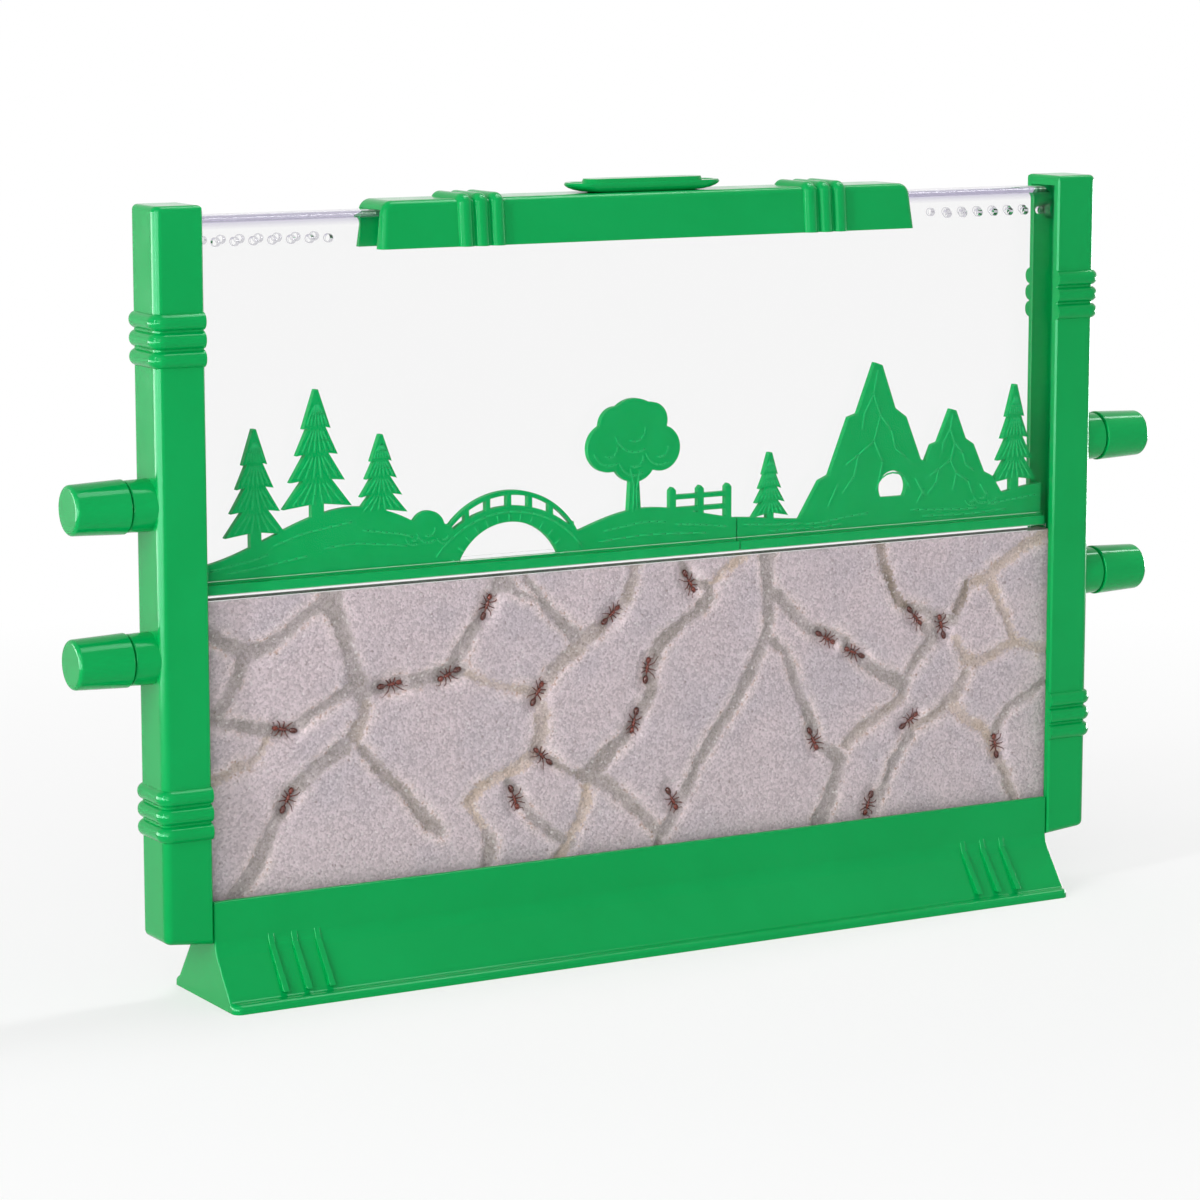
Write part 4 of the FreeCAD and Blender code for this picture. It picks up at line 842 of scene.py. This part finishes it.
def left_courses():
    """All raised lines of the longer insert."""
    left, span = LEFT_INSERT
    for share, root, height, spread in ((0.10, 7.0, 27.0, 15.0), (0.21, 12.0, 30.0, 17.0), (0.325, 11.0, 20.0, 13.0)):
        yield from fir_courses(left + span * share, RELIEF_FOOT + root, height, spread)
    tree_height = 27.0
    crown = tree_height * 0.27
    tree_x, tree_top = left + span * 0.80, RELIEF_FOOT + 8.5 + tree_height
    lobes = [(0, -1, 1), (-0.95, -1.55, 0.78), (0.95, -1.65, 0.74), (0, -1.9, 0.8)]
    yield from leaf_courses(tree_x, tree_top, crown, lobes)
    yield [(tree_x - 0.5, RELIEF_FOOT + 9.0), (tree_x - 0.2, RELIEF_FOOT + 15.0), (tree_x - 1.2, RELIEF_FOOT + 19.0)]
    yield [(tree_x + 0.6, RELIEF_FOOT + 9.5), (tree_x + 0.4, RELIEF_FOOT + 14.0), (tree_x + 1.4, RELIEF_FOOT + 18.5)]
    yield from leaf_courses(left + span * 0.41, RELIEF_FOOT + 6.5, 4.2,
                            [(0, 0.5, 1), (-0.9, 0.2, 0.7), (0.95, 0.1, 0.62)])
    yield from bridge_courses(left + span * 0.56, RELIEF_FOOT)
    hills = (4.0, 7.5, 12.5, 15.0, 12.0, 5.5, 3.0, 3.2, 7.0, 9.5, 8.0, 5.5)
    yield from furrow_courses(LEFT_INSERT, hills, (
        (0.02, 0.12, 0.62), (0.13, 0.27, 0.78), (0.29, 0.38, 0.66), (0.05, 0.19, 0.36), (0.22, 0.37, 0.45),
        (0.74, 0.86, 0.66), (0.88, 0.98, 0.6), (0.73, 0.94, 0.34)))


def right_courses():
    """All raised lines of the shorter insert."""
    left, span = RIGHT_INSERT
    hole_x, hole_half, hole_top = left + span * 0.5, 4.2, RELIEF_FOOT + 15.0
    for share, root, height, spread in ((0.105, 3.5, 17.0, 10.0), (0.91, 6.0, 27.0, 13.0)):
        yield from fir_courses(left + span * share, RELIEF_FOOT + root, height, spread)
    for share, root, half_width, height in ((0.45, 2.5, 23.0, 38.0), (0.70, 3.0, 17.0, 25.0)):
        for course in peak_courses(left + span * share, RELIEF_FOOT + root, half_width, height):
            if all(abs(x - hole_x) > hole_half or z > hole_top for x, z in course):
                yield course
    yield from leaf_courses(left + span * 0.80, RELIEF_FOOT + 5.0, 3.6,
                            [(0, 0.5, 1), (-0.9, 0.2, 0.7), (0.95, 0.1, 0.62)])
    yield arc_course(hole_x, RELIEF_FOOT + 8.4, 5.0, 170, 10, 8)
    hills = (5.5, 4.5, 4.0, 6.0, 7.0, 6.0, 5.0, 6.5, 8.0)
    yield from furrow_courses(RIGHT_INSERT, hills, (
        (0.02, 0.2, 0.68), (0.22, 0.42, 0.62), (0.56, 0.78, 0.6), (0.82, 0.98, 0.66), (0.1, 0.33, 0.36),
        (0.6, 0.88, 0.34)))


def relief(courses, width):
    """Half-sunk raised lines along the courses on the inserts' front face."""
    shape = bmesh.new()
    for course in courses:
        points = [Vector((x, RELIEF_Y, z)) * MM for x, z in course]
        for start, end in zip(points, points[1:]):
            rod(shape, start, end, width / 2, width / 2)
    return shape


# ---- operators


class HABITAT_OT_green_parts(bpy.types.Operator):
    """Gives the stand, posts, lid and caps their glossy green plastic"""

    bl_idname = "habitat.green_parts"
    bl_label = "Green parts"
    bl_options = {"REGISTER", "UNDO"}

    def execute(self, context):
        material = green_plastic(context.scene.habitat.plastic)
        for node in GREEN_NODES:
            paint(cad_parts[node], material)
        return {"FINISHED"}


class HABITAT_OT_windows(bpy.types.Operator):
    """Makes both window halves clear"""

    bl_idname = "habitat.windows"
    bl_label = "Clear windows"
    bl_options = {"REGISTER", "UNDO"}

    def execute(self, context):
        material = clear_plastic(context.scene.habitat.clear)
        for node in WINDOW_NODES:
            paint(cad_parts[node], material)
        return {"FINISHED"}


class HABITAT_OT_scenery(bpy.types.Operator):
    """Gives the scenery inserts their plastic and their raised lines"""

    bl_idname = "habitat.scenery"
    bl_label = "Scenery inserts"
    bl_options = {"REGISTER", "UNDO"}

    def execute(self, context):
        settings = context.scene.habitat.scenery
        material = scenery_plastic("scenery_plastic", settings.colour, settings)
        # the raised lines get the pale speck colour all over: a painted highlight on their ridges
        raised = scenery_plastic("scenery_relief_painted_highlight", settings.speck_and_relief_highlight_colour, settings)
        for node, courses in zip(SCENERY_NODES, (left_courses(), right_courses())):
            paint(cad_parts[node], material)
            lines = mesh_object(node + "_relief", relief(courses, settings.line_width))
            lines.data.shade_smooth()
            paint(lines, raised)
            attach(lines, "tank")
        return {"FINISHED"}


class HABITAT_OT_sand(bpy.types.Operator):
    """Builds the bed of sand with its tunnels"""

    bl_idname = "habitat.sand"
    bl_label = "Sand and tunnels"
    bl_options = {"REGISTER", "UNDO"}

    def execute(self, context):
        settings = context.scene.habitat.sand
        bed = mesh_object("sand_bed", sand_shape(settings))
        shade_smooth(bed, math.radians(60))
        paint(bed, sand_material(settings))
        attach(bed, "tank")
        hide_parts("sand_fill")
        return {"FINISHED"}


class HABITAT_OT_ants(bpy.types.Operator):
    """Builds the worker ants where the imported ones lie"""

    bl_idname = "habitat.ants"
    bl_label = "Ants"
    bl_options = {"REGISTER", "UNDO"}

    def execute(self, context):
        settings = context.scene.habitat.ants
        dice = random.Random(ANT_SEED)
        shape = bmesh.new()
        for middle, way in ant_places():
            out = Vector((0, -1, 0))
            side = out.cross(way).normalized()
            roll = Matrix.Rotation(math.radians(dice.uniform(-ANT_ROLL, ANT_ROLL)), 4, "X")
            turned = Matrix((way, side, out)).transposed().to_4x4()
            worker = one_ant(Matrix.Translation(middle) @ turned @ roll, settings.leg_radius, dice)
            shape.from_mesh(worker)
            bpy.data.meshes.remove(worker)
        colony = mesh_object("ant_colony", shape)
        colony.data.shade_smooth()
        paint(colony, ant_material(settings))
        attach(colony, "tank")
        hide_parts("ants")
        return {"FINISHED"}


class HABITAT_OT_stage(bpy.types.Operator):
    """Sets up the pale floor, the lamps, the room light and the camera"""

    bl_idname = "habitat.stage"
    bl_label = "Stage"
    bl_options = {"REGISTER", "UNDO"}

    def execute(self, context):
        settings = context.scene.habitat.stage
        self.make_floor(settings)
        self.make_room(context.scene, settings)
        lamps = (
            ("key_lamp", (-1.35, -0.4, 0.6), (0.1, 1.15), settings.key_power, (0, 0, 0.3)),
            ("fill_lamp", (-1.0, -1.25, 0.7), (0.9, 0.9), settings.fill_power, HABITAT_MIDDLE),
            ("top_lamp", (0.6, 0.1, 1.15), (0.14, 0.9), settings.top_power, HABITAT_MIDDLE),
        )
        for lamp in lamps:
            self.make_lamp(*lamp)
        panels = (
            ("left_panel", (-0.5, -0.075, 0.08), (1.35, 0.16), settings.left_glow, (0, -0.075, 0.08)),
            ("top_panel", (0.35, -0.2, 1.15), (0.5, 0.6), settings.top_glow, (0.35, -0.2, 0)),
            ("right_panel", (0.7, 0.1, 0.08), (0.5, 0.16), settings.right_glow, (0, 0.1, 0.08)),
        )
        for panel in panels:
            lamp = self.make_lamp(*panel)
            lamp.visible_camera = lamp.visible_diffuse = lamp.visible_transmission = False
        lens = bpy.data.cameras.new("camera")
        lens.lens = settings.lens
        lens.sensor_width = 36.0
        lens.clip_start = 0.01
        camera = bpy.data.objects.new("camera", lens)
        context.scene.collection.objects.link(camera)
        camera.location = settings.camera_place
        camera.rotation_euler = (math.pi / 2 - settings.camera_dip, 0, -settings.camera_turn)
        context.scene.camera = camera
        context.scene.view_settings.view_transform = "Standard"
        return {"FINISHED"}

    def make_floor(self, settings):
        """A pale floor that keeps a faint shadow and looks white beyond it."""
        shape = bmesh.new()
        bmesh.ops.create_grid(shape, x_segments=1, y_segments=1, size=settings.floor_size / 2)
        floor = mesh_object("floor", shape)
        sheet = NodeSheet("floor")
        sheet.finish("Base Color", settings.floor_colour)
        sheet.finish("Roughness", 0.9)
        sheet.finish("Specular IOR Level", 0.0)
        glow = sheet.add("ShaderNodeEmission")
        choose = sheet.add("ShaderNodeMixShader")
        away = sheet.add("ShaderNodeVectorMath", operation="LENGTH")
        sheet.link(sheet.place, away.inputs[0])
        share = sheet.ramp(away.outputs["Value"], 0.12, 0.5, 0.6, 1.0)
        sheet.link(sheet.maths("MULTIPLY", seeing_rays(sheet.tree), share), choose.inputs[0])
        sheet.link(sheet.shader.outputs[0], choose.inputs[1])
        sheet.link(glow.outputs[0], choose.inputs[2])
        sheet.link(choose.outputs[0], sheet.output.inputs["Surface"])
        paint(floor, sheet.material)

    def make_room(self, scene, settings):
        """White wherever it is seen, and dimmer as a light."""
        world = bpy.data.worlds.new("room")
        world.use_nodes = True
        tree = world.node_tree
        back = tree.nodes["Background"]
        back.inputs["Color"].default_value = (1.0, 1.0, 1.0, 1.0)
        strength = tree.nodes.new("ShaderNodeMapRange")
        strength.inputs["To Min"].default_value = settings.sky_light
        strength.inputs["To Max"].default_value = 1.0
        tree.links.new(seeing_rays(tree), strength.inputs["Value"])
        tree.links.new(strength.outputs["Result"], back.inputs["Strength"])
        scene.world = world

    def make_lamp(self, name, place, size, power, target):
        """An oblong soft lamp turned to a target."""
        light = bpy.data.lights.new(name, "AREA")
        light.shape = "RECTANGLE"
        light.size, light.size_y = size
        light.energy = power
        lamp = bpy.data.objects.new(name, light)
        bpy.context.scene.collection.objects.link(lamp)
        lamp.location = place
        lamp.rotation_euler = (Vector(target) - Vector(place)).to_track_quat("-Z", "Y").to_euler()
        return lamp


class HABITAT_PT_panel(bpy.types.Panel):
    """The habitat's sizes, colours and steps"""

    bl_label = "Ant Habitat"
    bl_idname = "HABITAT_PT_panel"
    bl_space_type = "VIEW_3D"
    bl_region_type = "UI"
    bl_category = "Habitat"

    def draw(self, context):
        for name in ("plastic", "scenery", "clear", "sand", "ants", "stage"):
            group = getattr(context.scene.habitat, name)
            box = self.layout.box()
            box.label(text=name.capitalize())
            for key in group.__annotations__:
                box.prop(group, key)
        for operator in OPERATORS:
            self.layout.operator(operator.bl_idname)


OPERATORS = [
    HABITAT_OT_green_parts, HABITAT_OT_windows, HABITAT_OT_scenery,
    HABITAT_OT_sand, HABITAT_OT_ants, HABITAT_OT_stage,
]
CLASSES = [
    PlasticSettings, SceneryPlasticSettings, ClearSettings, SandSettings, AntSettings, StageSettings,
    HabitatSettings, *OPERATORS, HABITAT_PT_panel,
]


def register():
    for item in CLASSES:
        bpy.utils.register_class(item)
    bpy.types.Scene.habitat = PointerProperty(type=HabitatSettings)


def unregister():
    del bpy.types.Scene.habitat
    for item in reversed(CLASSES):
        bpy.utils.unregister_class(item)


def main():
    register()
    bpy.ops.habitat.green_parts()
    bpy.ops.habitat.windows()
    bpy.ops.habitat.scenery()
    bpy.ops.habitat.sand()
    bpy.ops.habitat.ants()
    bpy.ops.habitat.stage()


if __name__ == "__main__":
    main()
